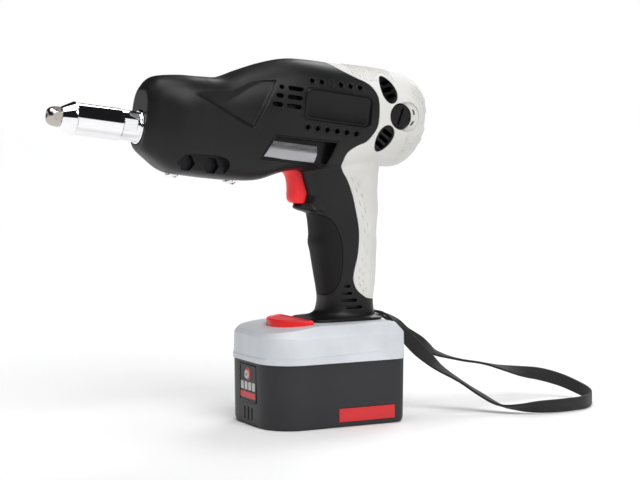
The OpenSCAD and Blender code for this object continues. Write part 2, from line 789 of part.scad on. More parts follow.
module planet_carrier() {
    color([0.62, 0.62, 0.64]) in_head() {
        along_spindle(-65.5, motor_rise) cylinder(r = 4, h = 10, $fn = 32);
        along_spindle(-55.6, motor_rise) rotate([0, 0, 11.25])
            linear_extrude(11) polygon(gear_points(16, gear_module, 1, 1.25, 0.12));
        along_spindle(-44.7, motor_rise) cylinder(r = 6, h = 12, $fn = 32);
        along_spindle(-34, motor_rise) cylinder(r = 15.5, h = 3.5, $fn = 48);
        for (k = [0:2]) along_spindle(-31, motor_rise) rotate([0, 0, 120 * k]) translate([12, 0, 0])
            cylinder(r = 2, h = 12.6, $fn = 24);
    }
}

module planet(k) {
    color([0.7, 0.66, 0.5]) in_head() along_spindle(-29.8, motor_rise) rotate([0, 0, 120 * k])
        translate([12, 0, 0]) rotate([0, 0, 10]) linear_extrude(10) difference() {
            polygon(gear_points(18, planet_module, 1, 1.25, 0.1));
            circle(r = 2 + run_gap, $fn = 24);
        }
}

module planet_1() {
    planet(0);
}

module planet_2() {
    planet(1);
}

module planet_3() {
    planet(2);
}

module gearbox_cover() {
    color([0.2, 0.2, 0.21]) in_head() along_spindle(-40, motor_rise) difference() {
        cylinder(r = 23, h = 4, $fn = 64);
        translate([0, 0, -1]) cylinder(r = 6 + run_gap, h = 6, $fn = 32);
    }
}

module ring_gear() {
    color([0.5, 0.5, 0.52]) in_head() along_spindle(-36, motor_rise) linear_extrude(19) difference() {
        circle(r = 23, $fn = 64);
        rotate(3.75) polygon(gear_points(48, planet_module, 1.25, 1, -0.1));
    }
}

module gearbox_plate() {
    color([0.2, 0.2, 0.21]) in_head() along_spindle(-17, motor_rise) difference() {
        cylinder(r = 23, h = 2.5, $fn = 64);
        translate([0, 0, -1]) cylinder(r = 5, h = 5, $fn = 32);
    }
}

// Motor

module motor_can() {
    color([0.45, 0.45, 0.47]) in_head() along_spindle(-4, motor_rise) difference() {
        cylinder(r = motor_r, h = 46, $fn = 64);
        translate([0, 0, 3]) cylinder(r = motor_r - 3, h = 50, $fn = 64);
        translate([0, 0, -1]) cylinder(r = 3 + run_gap, h = 10, $fn = 32);
    }
}

module end_bell() {
    color([0.15, 0.15, 0.16]) in_head() difference() {
        along_spindle(42, motor_rise) cylinder(r = motor_r, h = 20, $fn = 64);
        along_spindle(41, motor_rise) cylinder(r = motor_r - 4, h = 17.5, $fn = 64);
        along_spindle(41, motor_rise) cylinder(r = 3 + run_gap, h = 30, $fn = 32);
        rod_across([cap_spot[0], motor_rise], 6.05, -30, 30, 32);
    }
}

module brushes() {
    color([0.25, 0.24, 0.23]) in_head() for (side = [-1, 1]) {
        rod_across([cap_spot[0], motor_rise], 6, side > 0 ? 20 : -25, side > 0 ? 25 : -20, 32);
        rod_across([cap_spot[0], motor_rise], 3.4, side > 0 ? 9.3 : -20.1, side > 0 ? 20.1 : -9.3, 24);
    }
}

module brush_caps() {
    color([0.1, 0.1, 0.11]) in_head() for (side = [-1, 1]) mirror([0, side > 0 ? 1 : 0, 0]) difference() {
        union() {
            rod_across(cap_spot, 9.2, -30.6, -28.4, 40);
            rod_across(cap_spot, 6.2, -28.5, -25.1, 32);
        }
        translate([cap_spot[0], -30.6, cap_spot[1]]) rotate([0, 14, 0])
            cube([1.8, 2.4, 14], center = true);
    }
}

module rotor() {
    color([0.6, 0.45, 0.3]) in_head() {
        along_spindle(-18, motor_rise) cylinder(r = 3, h = 79.5, $fn = 32);
        along_spindle(-29.6, motor_rise) linear_extrude(12)
            polygon(gear_points(12, planet_module, 1, 1.1, 0.1));
        along_spindle(3, motor_rise) cylinder(r = 18, h = 34, $fn = 48);
        along_spindle(43, motor_rise) cylinder(r = 9, h = 13, $fn = 40);
    }
}

module fan() {
    color([0.2, 0.2, 0.22]) in_head() along_spindle(-13, motor_rise) difference() {
        union() {
            cylinder(r = 21, h = 1.5, $fn = 48);
            cylinder(r = 6, h = 7, $fn = 32);
            for (a = [0:40:320]) rotate([0, 0, a]) translate([5, -0.6, 1]) cube([15.4, 1.2, 6]);
        }
        translate([0, 0, -1]) cylinder(r = 3.02, h = 10, $fn = 32);
    }
}

// Battery pack

function pack_ring(inset, z) = at_height(plan_points(inset - pack_l / 2, pack_l / 2 - inset,
    pack_w / 2 - inset, 24.4 - inset, max(9 - inset, 1), 5), z);

module pack_case() {
    color([0.21, 0.21, 0.23]) difference() {
        loft([pack_ring(3.4, 0), pack_ring(1.3, 1), pack_ring(0.5, 4), pack_ring(0, pack_split)]);
        loft([pack_ring(3.4, 2.5), pack_ring(2.6, 5), pack_ring(2.5, pack_split + 1)]);
        translate([-pack_l / 2 - 1, -13.6, 17]) cube([2.2, 26.2, 26.6]);
        for (i = [0:3]) translate([-pack_l / 2 - 1, 5.8 - 4 * i, 4.6]) cube([2.2, 1.6, 9]);
        translate([-pack_l / 2 - 1, 0.5, 36.5]) rotate([0, 90, 0]) cylinder(r = 3.5, h = 6, $fn = 24);
        for (y = [-1, 1]) translate([-2.2, y * pack_w / 2 - 0.8, 3.8]) cube([45.4, 1.6, 9.9]);
    }
}

module pack_band() {
    color([0.78, 0.12, 0.12]) for (y = [-1, 1])
        translate([-2, y * (pack_w / 2 - 0.45) - 0.3, 4]) cube([45, 0.6, 9.5]);
}

// room for the foot's rail, open at the rear
module rail_slot() {
    translate([-6 - slide_gap, -13 - slide_gap, foot_z - 4]) cube([100, 26 + 2 * slide_gap, 10]);
    translate([-6 - slide_gap, -18 - slide_gap, foot_z - 7 - slide_gap])
        cube([100, 36 + 2 * slide_gap, 3.7 + 2 * slide_gap]);
}

module latch_plan(grow) {
    offset(delta = grow) polygon([[-14, -24], [-14, 24], [-18, 25], [-22, 24], [-29.5, 17.5], [-34, 10],
        [-36, 4], [-36, -4], [-34, -10], [-29.5, -17.5], [-22, -24], [-18, -25]]);
}

module pack_cover() {
    color([0.84, 0.85, 0.86]) difference() {
        loft([pack_ring(-0.5, pack_split + 0.15), pack_ring(0, 60), pack_ring(1, 66), pack_ring(2.8, 69.4),
            pack_ring(5, 71.5), pack_ring(8, pack_top)]);
        loft([pack_ring(2.6, pack_split - 1), pack_ring(2.8, 56), pack_ring(5, 60)]);
        rail_slot();
        translate([-12, -60, pack_top]) rotate([0, -6.5, 0]) translate([-80, 0, 0]) cube([80, 120, 20]);
        translate([0, 0, 65]) linear_extrude(12) latch_plan(slide_gap);
        translate([-25, 0, 61.6]) cylinder(r = 4.4, h = 8, $fn = 32);
        for (y = [-11, 0, 11]) translate([-2, y - 2.05, foot_z - 8.3]) cube([30.1, 4.1, 3]);
    }
}

module pack_latch() {
    color([0.86, 0.1, 0.1]) {
        translate([0, 0, 68.2]) linear_extrude(2.7) difference() {
            latch_plan(0);
            latch_plan(-3);
        }
        translate([0, 0, 70.8]) linear_extrude(3) latch_plan(0);
        translate([0, 0, 73.8]) linear_extrude(1.2) latch_plan(-1.2);
        translate([-25, 0, 65.6]) cylinder(r = 2, h = 5.6, $fn = 24);
    }
}

module latch_spring() {
    color([0.6, 0.6, 0.62]) translate([-25, 0, 61.7]) coil(3.1, 0.5, 9, 5);
}

module gauge_panel() {
    color([0.12, 0.12, 0.13]) translate([-pack_l / 2 + 0.2, -13.4, 17.2]) difference() {
        cube([0.9, 25.8, 26.2]);
        translate([-1, 13.9, 19.3]) rotate([0, 90, 0]) cylinder(r = 3.6, h = 4, $fn = 24);
    }
}

module gauge_bars() {
    color([0.8, 0.8, 0.78]) for (i = [0:3])
        translate([-pack_l / 2 - 0.1, -11.4 + 5.6 * i, 26]) cube([0.3, 4.6, 6.4]);
}

module gauge_button() {
    color([0.88, 0.88, 0.86]) translate([-pack_l / 2, 0.5, 36.5]) rotate([0, 90, 0]) {
        translate([0, 0, -0.9]) cylinder(r = 3.2, h = 3.5, $fn = 32);
        translate([0, 0, 2.55]) cylinder(r = 4.2, h = 0.8, $fn = 32);
    }
}

module cells() {
    color([0.2, 0.45, 0.4]) for (i = [0:3], k = [0, 1])
        rod_across([(i - 1.5) * (cell_d + 0.4), 2.6 + cell_d / 2 + k * (cell_d + 0.1)],
            cell_d / 2, -cell_l / 2, cell_l / 2, 32);
}

module cell_straps() {
    color([0.7, 0.7, 0.68]) for (y = [-1, 1])
        translate([strap_end_room - pack_l / 2, y * (cell_l / 2 + 0.25) - 0.2, 5])
            cube([pack_l - 2 * strap_end_room, 0.4, 2 * cell_d - 5]);
}

module pack_board() {
    color([0.1, 0.3, 0.18]) translate([20 - pack_l / 2, 13 - pack_w / 2, 2.9 + 2 * cell_d])
        cube([pack_l - 40, pack_w - 26, 1.6]);
}

module pack_contacts() {
    color([0.8, 0.65, 0.3]) for (y = [-11, 0, 11])
        translate([-1.9, y - 2, foot_z - 8.3]) cube([29.9, 4, 0.8]);
}

left_shell();
right_shell();
left_cover();
right_cover();
left_grip();
right_grip();
vent_grilles();
brush_caps();
shell_screws();
clamp_bolts();
clamp_nuts();
selector_frame();
selector();
trigger();
trigger_switch();
control_board();
foot_contacts();
strap_pin();
strap();
carrier();
lock_ring();
sleeve();
nosepiece();
rest_studs();
gear_plate();
thrust_bearing();
nut_bearing();
gearbox_cover();
ring_gear();
gearbox_plate();
motor_can();
end_bell();
brushes();
spindle();
jaw_housing();
jaw_1();
jaw_2();
jaw_3();
jaw_pusher();
jaw_spring();
nut_gear();
planet_carrier();
planet_1();
planet_2();
planet_3();
rotor();
fan();
pack_case();
pack_cover();
pack_latch();
latch_spring();
gauge_panel();
gauge_bars();
gauge_button();
pack_band();
cells();
cell_straps();
pack_board();
pack_contacts();
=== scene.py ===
# %% [markdown]
# # A battery rivet tool, from imported solids to a finished picture
# The imported model is the fixed frame: its solids keep their places and carry the motion. This lesson makes the
# surfaces that are seen, one step at a time. Sizes are in millimetres, as in the part's own drawing, and
# become metres at the last moment.

# %% Load the frame
import json
import math

import bmesh
import bpy
import numpy as np
from mathutils import Matrix, Vector

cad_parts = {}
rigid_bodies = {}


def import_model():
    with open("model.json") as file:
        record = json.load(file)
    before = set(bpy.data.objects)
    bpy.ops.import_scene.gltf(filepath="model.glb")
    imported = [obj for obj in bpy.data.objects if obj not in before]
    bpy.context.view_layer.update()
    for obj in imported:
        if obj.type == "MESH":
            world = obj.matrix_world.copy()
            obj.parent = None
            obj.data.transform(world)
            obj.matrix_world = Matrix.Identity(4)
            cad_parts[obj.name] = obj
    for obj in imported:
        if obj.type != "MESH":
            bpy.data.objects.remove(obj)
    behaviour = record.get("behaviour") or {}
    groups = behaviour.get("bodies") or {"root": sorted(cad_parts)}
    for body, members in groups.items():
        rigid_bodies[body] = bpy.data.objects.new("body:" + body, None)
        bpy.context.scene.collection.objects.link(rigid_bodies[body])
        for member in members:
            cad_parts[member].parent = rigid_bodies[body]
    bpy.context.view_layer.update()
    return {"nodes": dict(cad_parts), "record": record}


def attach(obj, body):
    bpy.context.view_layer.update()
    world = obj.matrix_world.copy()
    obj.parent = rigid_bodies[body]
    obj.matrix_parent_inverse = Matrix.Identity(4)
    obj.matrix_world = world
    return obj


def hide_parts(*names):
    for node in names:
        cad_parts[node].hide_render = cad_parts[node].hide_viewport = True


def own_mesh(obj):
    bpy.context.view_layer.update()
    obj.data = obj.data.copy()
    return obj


for name in ("Cube", "Light", "Camera"):
    if name in bpy.data.objects:
        bpy.data.objects.remove(bpy.data.objects[name])
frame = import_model()
scene = bpy.context.scene
MM = 0.001

# %% [markdown]
# ## The camera
# A product photograph is usually taken from some distance with a long lens, which keeps upright edges nearly
# parallel. The place, the two angles and the lens were fitted to the outline of the tool in the photograph. The camera
# comes first, because the strap has to stay inside its view.

# %% Camera
CAMERA_PLACE = (-572.25, -1086.78, 211.51)
CAMERA_TURN = math.radians(27.94)
CAMERA_DIP = math.radians(3.79)
LENS = 96.19

look = Vector((
    math.sin(CAMERA_TURN) * math.cos(CAMERA_DIP),
    math.cos(CAMERA_TURN) * math.cos(CAMERA_DIP),
    -math.sin(CAMERA_DIP),
))
camera_data = bpy.data.cameras.new("portrait")
camera_data.lens = LENS
camera_data.sensor_width = 36
camera = bpy.data.objects.new("portrait", camera_data)
camera.location = Vector(CAMERA_PLACE) * MM
camera.rotation_euler = look.to_track_quat("-Z", "Y").to_euler()
scene.collection.objects.link(camera)
scene.camera = camera
print("camera", [round(x, 3) for x in camera.location])

# %% [markdown]
# ## Finishes, part one: effects that several materials share
# Moulded plastic is never one flat colour: the mould leaves a fine grain and the pigment a faint cloud. Machined
# steel has tool marks that run one way, and edges that hands touch are rubbed brighter. Each effect is a node group
# with named sockets, so that every material can use it with its own values. A group only gives out masks and
# heights. The shader stays in the material.


# %% Node group helpers
def node_group(name, inputs, outputs):
    """An empty shader group with float or vector inputs and float outputs."""
    tree = bpy.data.node_groups.new(name, "ShaderNodeTree")
    for label, kind, value in inputs:
        socket = tree.interface.new_socket(label, in_out="INPUT", socket_type=kind)
        if value is not None:
            socket.default_value = value
    for label in outputs:
        tree.interface.new_socket(label, in_out="OUTPUT", socket_type="NodeSocketFloat")
    return tree, tree.nodes.new("NodeGroupInput"), tree.nodes.new("NodeGroupOutput")


def maths(tree, operation, a, b=None):
    """One arithmetic node; a and b are sockets or plain numbers."""
    node = tree.nodes.new("ShaderNodeMath")
    node.operation = operation
    for socket, value in zip(node.inputs, (a, b)):
        if value is None:
            continue
        if isinstance(value, (int, float)):
            socket.default_value = value
        else:
            tree.links.new(value, socket)
    return node.outputs[0]


VECTOR, FLOAT = "NodeSocketVector", "NodeSocketFloat"
EDGE_SAMPLES = 4
MASK_LOW, MASK_HIGH = 0.3, 0.7
print("helpers for shader groups")


# %% Grain and tool marks
def make_grain():
    """Fine mould grain as a height, and a slow cloud as a tone."""
    tree, given, out = node_group("moulded_grain", [("Where", VECTOR, None), ("Grains", FLOAT, 2600.0),
                                                    ("Clouds", FLOAT, 24.0)], ("Height", "Tone"))
    for socket, source, detail in (("Height", "Grains", 2.0), ("Tone", "Clouds", 5.0)):
        noise = tree.nodes.new("ShaderNodeTexNoise")
        noise.inputs["Detail"].default_value = detail
        tree.links.new(given.outputs["Where"], noise.inputs["Vector"])
        tree.links.new(given.outputs[source], noise.inputs["Scale"])
        tree.links.new(noise.outputs["Fac"], out.inputs[socket])
    return tree


def make_tool_marks():
    """Noise drawn out along one axis: the marks that turning and brushing leave."""
    tree, given, out = node_group("tool_marks", [("Where", VECTOR, None), ("Stretch", VECTOR, (60.0, 4000.0, 4000.0))],
                                  ("Height", "Tone"))
    scaled = tree.nodes.new("ShaderNodeVectorMath")
    scaled.operation = "MULTIPLY"
    noise = tree.nodes.new("ShaderNodeTexNoise")
    noise.inputs["Scale"].default_value = 1.0
    noise.inputs["Detail"].default_value = 4.0
    tree.links.new(given.outputs["Where"], scaled.inputs[0])
    tree.links.new(given.outputs["Stretch"], scaled.inputs[1])
    tree.links.new(scaled.outputs[0], noise.inputs["Vector"])
    tree.links.new(noise.outputs["Fac"], out.inputs["Height"])
    tree.links.new(noise.outputs["Fac"], out.inputs["Tone"])
    return tree


GRAIN, TOOL_MARKS = make_grain(), make_tool_marks()
print("groups:", GRAIN.name, TOOL_MARKS.name)


# %% Rubbed edges and weave
def make_rubbed_edges():
    """A mask that is 1 on outside edges: there the rounded normal leaves the face's own normal."""
    tree, given, out = node_group("rubbed_edges", [("Width", FLOAT, 0.0006), ("Amount", FLOAT, 4.0)], ("Mask",))
    rounded = tree.nodes.new("ShaderNodeBevel")
    rounded.samples = EDGE_SAMPLES
    face = tree.nodes.new("ShaderNodeNewGeometry")
    dot = tree.nodes.new("ShaderNodeVectorMath")
    dot.operation = "DOT_PRODUCT"
    tree.links.new(given.outputs["Width"], rounded.inputs["Radius"])
    tree.links.new(rounded.outputs["Normal"], dot.inputs[0])
    tree.links.new(face.outputs["Normal"], dot.inputs[1])
    bent = maths(tree, "SUBTRACT", 1.0, dot.outputs["Value"])
    strong = maths(tree, "MULTIPLY", bent, given.outputs["Amount"])
    tree.links.new(maths(tree, "MINIMUM", strong, 1.0), out.inputs["Mask"])
    return tree


def make_weave():
    """Webbing: columns of short threads, every second column moved half a thread along."""
    tree, given, out = node_group("webbing_weave", [("Where", VECTOR, None), ("Columns", FLOAT, 1.0),
                                                    ("Threads", FLOAT, 1.0)], ("Height",))
    split = tree.nodes.new("ShaderNodeSeparateXYZ")
    tree.links.new(given.outputs["Where"], split.inputs[0])
    across = maths(tree, "MULTIPLY", split.outputs["X"], given.outputs["Columns"])
    along = maths(tree, "MULTIPLY", split.outputs["Y"], given.outputs["Threads"])
    odd = maths(tree, "MODULO", maths(tree, "FLOOR", across), 2.0)
    along = maths(tree, "ADD", along, maths(tree, "MULTIPLY", odd, 0.5))
    column = maths(tree, "SINE", maths(tree, "MULTIPLY", maths(tree, "FRACT", across), math.pi))
    thread = maths(tree, "SINE", maths(tree, "MULTIPLY", maths(tree, "FRACT", along), math.pi))
    tree.links.new(maths(tree, "MULTIPLY", column, maths(tree, "POWER", thread, 0.6)), out.inputs["Height"])
    return tree


RUBBED_EDGES, WEAVE = make_rubbed_edges(), make_weave()
print("groups:", RUBBED_EDGES.name, WEAVE.name)

# %% [markdown]
# ## Finishes, part two: one material for each slot of the record
# The record names a slot for every piece, so the materials carry the same names. Each reads Object coordinates: a
# piece sits at the origin with its place in its mesh, so a grain or a tool mark stays put when the piece moves. A bump
# is fed with a rounded normal, which gives each moulded edge the small highlight that a sharp modelled edge lacks.


# %% Small parts of a material
def place_group(tree, group, **values):
    """A copy of a shared effect in a material, with its own values."""
    node = tree.nodes.new("ShaderNodeGroup")
    node.node_tree = group
    for label, value in values.items():
        if hasattr(value, "node"):
            tree.links.new(value, node.inputs[label])
        else:
            node.inputs[label].default_value = value
    return node


def tinted(tree, factor, dark, light):
    """A colour between two shades, by a mask."""
    ramp = tree.nodes.new("ShaderNodeValToRGB")
    ramp.color_ramp.elements[0].position, ramp.color_ramp.elements[1].position = MASK_LOW, MASK_HIGH
    ramp.color_ramp.elements[0].color = (*dark, 1)
    ramp.color_ramp.elements[1].color = (*light, 1)
    tree.links.new(factor, ramp.inputs[0])
    return ramp.outputs[0]


def ranged(tree, value, low, high):
    """A mask spread over a range of numbers."""
    node = tree.nodes.new("ShaderNodeMapRange")
    node.inputs["From Min"].default_value, node.inputs["From Max"].default_value = MASK_LOW, MASK_HIGH
    node.inputs["To Min"].default_value, node.inputs["To Max"].default_value = low, high
    tree.links.new(value, node.inputs["Value"])
    return node.outputs["Result"]


def blank_material(name):
    """A material with a Principled shader, and the socket of its own Object coordinates."""
    made = bpy.data.materials.new(name)
    made.use_nodes = True
    tree = made.node_tree
    where = tree.nodes.new("ShaderNodeTexCoord").outputs["Object"]
    return made, tree, tree.nodes["Principled BSDF"], where


def soft_bump(tree, shader, height, depth, edge):
    """Relief on top of a normal that is rounded at the edges."""
    rounded = tree.nodes.new("ShaderNodeBevel")
    rounded.samples = EDGE_SAMPLES
    rounded.inputs["Radius"].default_value = edge * MM
    bump = tree.nodes.new("ShaderNodeBump")
    bump.inputs["Distance"].default_value = depth * MM
    tree.links.new(height, bump.inputs["Height"])
    tree.links.new(rounded.outputs["Normal"], bump.inputs["Normal"])
    tree.links.new(bump.outputs["Normal"], shader.inputs["Normal"])


print("parts of a material")


# %% Two kinds of finish: moulded and metal
def moulded(name, colour, rough, grains=2600.0, depth=0.02, edge=0.5, rub=0.5, gloss=0.5, sheen=0.0, coat=0.0):
    """Moulded plastic or rubber: clouded colour, grain, and edges rubbed a little lighter."""
    made, tree, shader, where = blank_material(name)
    grain = place_group(tree, GRAIN, Where=where, Grains=grains)
    rubbed = place_group(tree, RUBBED_EDGES, Width=edge * MM, Amount=4.0)
    tone = maths(tree, "ADD", grain.outputs["Tone"], maths(tree, "MULTIPLY", rubbed.outputs["Mask"], rub))
    shade = tinted(tree, tone, [c * 0.9 for c in colour], [min(c * 1.12 + 0.002, 1) for c in colour])
    tree.links.new(shade, shader.inputs["Base Color"])
    tree.links.new(ranged(tree, grain.outputs["Tone"], rough - 0.05, rough + 0.05), shader.inputs["Roughness"])
    shader.inputs["Specular IOR Level"].default_value = gloss
    shader.inputs["Sheen Weight"].default_value = sheen
    shader.inputs["Coat Weight"].default_value = coat
    shader.inputs["Coat Roughness"].default_value = 0.08
    soft_bump(tree, shader, grain.outputs["Height"], depth, edge)
    return made


def metal(name, colour, rough, stretch=(60.0, 4000.0, 4000.0), depth=0.004, edge=0.25):
    """Machined or plated metal with marks that run one way."""
    made, tree, shader, where = blank_material(name)
    marks = place_group(tree, TOOL_MARKS, Where=where, Stretch=stretch)
    shade = tinted(tree, marks.outputs["Tone"], [c * 0.93 for c in colour], [min(c * 1.05, 1) for c in colour])
    tree.links.new(shade, shader.inputs["Base Color"])
    tree.links.new(ranged(tree, marks.outputs["Tone"], rough * 0.8, rough * 1.25), shader.inputs["Roughness"])
    shader.inputs["Metallic"].default_value = 1.0
    soft_bump(tree, shader, marks.outputs["Height"], depth, edge)
    return made


print("finishes: moulded, metal")

# %% The record's slots
ROUND_MARKS = (60.0, 3000.0, 3000.0)
PLATE_MARKS = (900.0, 900.0, 900.0)
FINISH = {
    "black_plastic": moulded("black_plastic", (0.0065, 0.0065, 0.0072), 0.4, depth=0.012, gloss=0.28),
    "pale_rubber": moulded("pale_rubber", (0.67, 0.665, 0.64), 0.6, grains=1800.0, depth=0.015, gloss=0.3),
    "grip_rubber": moulded("grip_rubber", (0.005, 0.005, 0.0055), 0.58, grains=1500.0, depth=0.05, gloss=0.22),
    "black_trim": moulded("black_trim", (0.004, 0.004, 0.0046), 0.24, grains=3200.0, depth=0.004, gloss=0.24),
    "red_plastic": moulded("red_plastic", (0.97, 0.02, 0.026), 0.36, grains=3000.0, depth=0.006, rub=0.3, gloss=0.35),
    "silver_trim": metal("silver_trim", (0.38, 0.38, 0.4), 0.3, ROUND_MARKS),
    "chrome": metal("chrome", (0.90, 0.90, 0.91), 0.035, ROUND_MARKS, depth=0.0002),
    "bright_steel": metal("bright_steel", (0.50, 0.47, 0.43), 0.2, ROUND_MARKS),
    "dark_steel": metal("dark_steel", (0.30, 0.30, 0.31), 0.3, ROUND_MARKS),
    "blackened_steel": metal("blackened_steel", (0.03, 0.03, 0.033), 0.42, PLATE_MARKS),
    "gear_bronze": metal("gear_bronze", (0.52, 0.40, 0.22), 0.28, PLATE_MARKS),
    "contact_brass": metal("contact_brass", (0.75, 0.55, 0.22), 0.22, PLATE_MARKS),
    "alloy": metal("alloy", (0.55, 0.55, 0.57), 0.34, PLATE_MARKS),
    # motor_steel is near black: painted shade for the dark inside seen through the housing's openings
    "motor_steel": metal("motor_steel", (0.045, 0.045, 0.05), 0.45, PLATE_MARKS),
    "board": moulded("board", (0.012, 0.09, 0.035), 0.3, coat=0.3),
    "carbon": moulded("carbon", (0.04, 0.038, 0.036), 0.6),
    "pack_grey": moulded("pack_grey", (0.024, 0.024, 0.027), 0.46, grains=2200.0, depth=0.02, gloss=0.32),
    "pack_pale": moulded("pack_pale", (0.66, 0.685, 0.72), 0.4, depth=0.006, gloss=0.4),
    "band_red": moulded("band_red", (0.62, 0.016, 0.02), 0.38, depth=0.004),
    "gauge_pale": moulded("gauge_pale", (0.52, 0.52, 0.5), 0.35, depth=0.004),
    "cell_sleeve": moulded("cell_sleeve", (0.03, 0.17, 0.14), 0.3, coat=0.3),
    "nickel": metal("nickel", (0.62, 0.61, 0.58), 0.26, PLATE_MARKS),
}
print(len(FINISH), "finishes")


# %% Webbing finish
def make_webbing():
    """Woven black strap: the weave runs along the strap's own UV map, in millimetres."""
    made, tree, shader, _ = blank_material("webbing")
    along = tree.nodes.new("ShaderNodeUVMap")
    along.uv_map = "run"
    weave = place_group(tree, WEAVE, Where=along.outputs["UV"], Columns=1.1, Threads=0.55)
    shade = tinted(tree, weave.outputs["Height"], (0.003, 0.003, 0.0035), (0.012, 0.012, 0.013))
    tree.links.new(shade, shader.inputs["Base Color"])
    tree.links.new(ranged(tree, weave.outputs["Height"], 0.85, 0.6), shader.inputs["Roughness"])
    shader.inputs["Sheen Weight"].default_value = 0.1
    bump = tree.nodes.new("ShaderNodeBump")
    bump.inputs["Distance"].default_value = 0.25 * MM
    tree.links.new(weave.outputs["Height"], bump.inputs["Height"])
    tree.links.new(bump.outputs["Normal"], shader.inputs["Normal"])
    return made


FINISH["webbing"] = make_webbing()
print("finish:", FINISH["webbing"].name)

# %% [markdown]
# ## The solids that stay
# Inside the housing nearly everything is a turned, stamped or cut part whose solid is already right. Those nodes
# stay as they are and only take the finish of their slot. What shows from outside is made anew further down.

# %% Dress every solid with its slot's finish
SLOT_OF = {row["node"]: row["material_slot"] for row in frame["record"]["subparts"]}
for name, node in frame["nodes"].items():
    node.data.materials.clear()
    node.data.materials.append(FINISH[SLOT_OF[name]])
print("dressed", len(frame["nodes"]), "solids")

# %% [markdown]
# ## Shape helpers
# Three ways of making a skin cover this whole tool: a loft through rings, a prism cut through from the side, and a
# lathe about the spindle. The head leans nose-up by seven degrees, so points may be given in its own axes: back along
# the spindle, across, and up. Booleans then cut openings as a moulder's core pins do.

# %% Places in the head's own axes
AXIS_HEIGHT = 194.5
TILT = math.radians(7)


def in_head(back, across, up):
    """A point of the head (mm) in the row frame (mm)."""
    return (back * math.cos(TILT) + up * math.sin(TILT), across,
            AXIS_HEIGHT - back * math.sin(TILT) + up * math.cos(TILT))


def in_row(along, across, up):
    """A point that is already in the row frame."""
    return (along, across, up)


def along_spindle(outline, ends):
    """Rings along the spindle from an outline of (across, up) in the head's axes."""
    return [[in_head(back, y, v) for y, v in outline] for back in ends]


def along_tool(outline, ends):
    """Rings along the row from an outline of (across, up)."""
    return [[(x, y, z) for y, z in outline] for x in ends]


def upright(outline, ends):
    """Rings one above the other from an outline of (along, across)."""
    return [[(x, y, z) for x, y in outline] for z in ends]


print("spindle at", AXIS_HEIGHT, "mm, tilted by", round(math.degrees(TILT)), "degrees")


# %% Smooth lines and plain outlines
def between(rows, steps):
    """Smooth rows through the given ones."""
    rows = [np.array(r, float) for r in rows]
    fine = []
    for i in range(len(rows) - 1):
        a, b, c, d = rows[max(i - 1, 0)], rows[i], rows[i + 1], rows[min(i + 2, len(rows) - 1)]
        for k in range(steps):
            t = k / steps
            fine.append(b + (c - a) * (t / 2) + (2 * a - 5 * b + 4 * c - d) * (t * t / 2)
                        + (3 * b - a - 3 * c + d) * (t ** 3 / 2))
    return fine + [rows[-1]]


def smooth_line(points, steps=6):
    """A smooth open line through side-view points."""
    return [(p[0], p[1]) for p in between(points, steps)]


def closed_line(points, steps):
    """A smooth closed outline through points."""
    line = between([points[-1], *points, *points[:2]], steps)
    return [(p[0], p[1]) for p in line[steps:(len(points) + 1) * steps]]


def disc(middle, radius, count=24, start=0.0):
    """Points of a circle, or with few points of a hexagon."""
    return [(middle[0] + radius * math.cos(start + 2 * math.pi * k / count),
             middle[1] + radius * math.sin(start + 2 * math.pi * k / count)) for k in range(count)]


def slot_plan(a, b, radius, count=8):
    """Points of a slot with round ends."""
    lean = math.atan2(b[1] - a[1], b[0] - a[0])
    points = []
    for middle, start in ((b, lean - math.pi / 2), (a, lean + math.pi / 2)):
        points += [(middle[0] + radius * math.cos(start + math.pi * k / count),
                    middle[1] + radius * math.sin(start + math.pi * k / count)) for k in range(count + 1)]
    return points


def plan_points(x0, x1, half_width, front_r, rear_r, count):
    """A rounded rectangle, with one radius at its front corners and one at its rear."""
    corners = ((x1 - rear_r, half_width - rear_r, rear_r, 0), (x0 + front_r, half_width - front_r, front_r, 90),
               (x0 + front_r, front_r - half_width, front_r, 180), (x1 - rear_r, rear_r - half_width, rear_r, 270))
    return [(x + r * math.cos(math.radians(start + 90 * k / count)),
             y + r * math.sin(math.radians(start + 90 * k / count)))
            for x, y, r, start in corners for k in range(count + 1)]


print("outlines: line, disc, slot, rounded rectangle")


# %% Outlines moved inwards or cut off
def inset_outline(outline, inset):
    """A closed outline with straight sides, every side moved inwards."""
    turn = sum(a[0] * b[1] - b[0] * a[1] for a, b in zip(outline, outline[1:] + outline[:1]))
    inset = math.copysign(inset, turn)
    lines = []
    for a, b in zip(outline, outline[1:] + outline[:1]):
        run = Vector((b[0] - a[0], b[1] - a[1])).normalized()
        lines.append((Vector(a) + Vector((-run.y, run.x)) * inset, run))
    points = []
    for (p, r), (q, s) in zip(lines[-1:] + lines[:-1], lines):
        share = ((q - p).x * s.y - (q - p).y * s.x) / (r.x * s.y - r.y * s.x)
        points.append(tuple(p + r * share))
    return points


def inset_points(points, inset):
    """A smooth closed outline moved inwards along its own normals."""
    points = np.array(points)
    run = np.roll(points, -1, axis=0) - np.roll(points, 1, axis=0)
    normal = np.stack((-run[:, 1], run[:, 0]), axis=1) / np.linalg.norm(run, axis=1)[:, None]
    turn = np.sum(points[:, 0] * np.roll(points[:, 1], -1) - np.roll(points[:, 0], -1) * points[:, 1])
    return points + normal * inset * math.copysign(1, turn)


def clipped(outline, axis, limit):
    """The part of an outline on the lower side of a limit along one axis."""
    points = []
    for a, b in zip(outline, outline[1:] + outline[:1]):
        if a[axis] <= limit:
            points.append(a)
        if (a[axis] <= limit) != (b[axis] <= limit):
            share = (limit - a[axis]) / (b[axis] - a[axis])
            points.append(tuple(a[i] + (b[i] - a[i]) * share for i in (0, 1)))
    return points


print("outlines: inset, clipped")


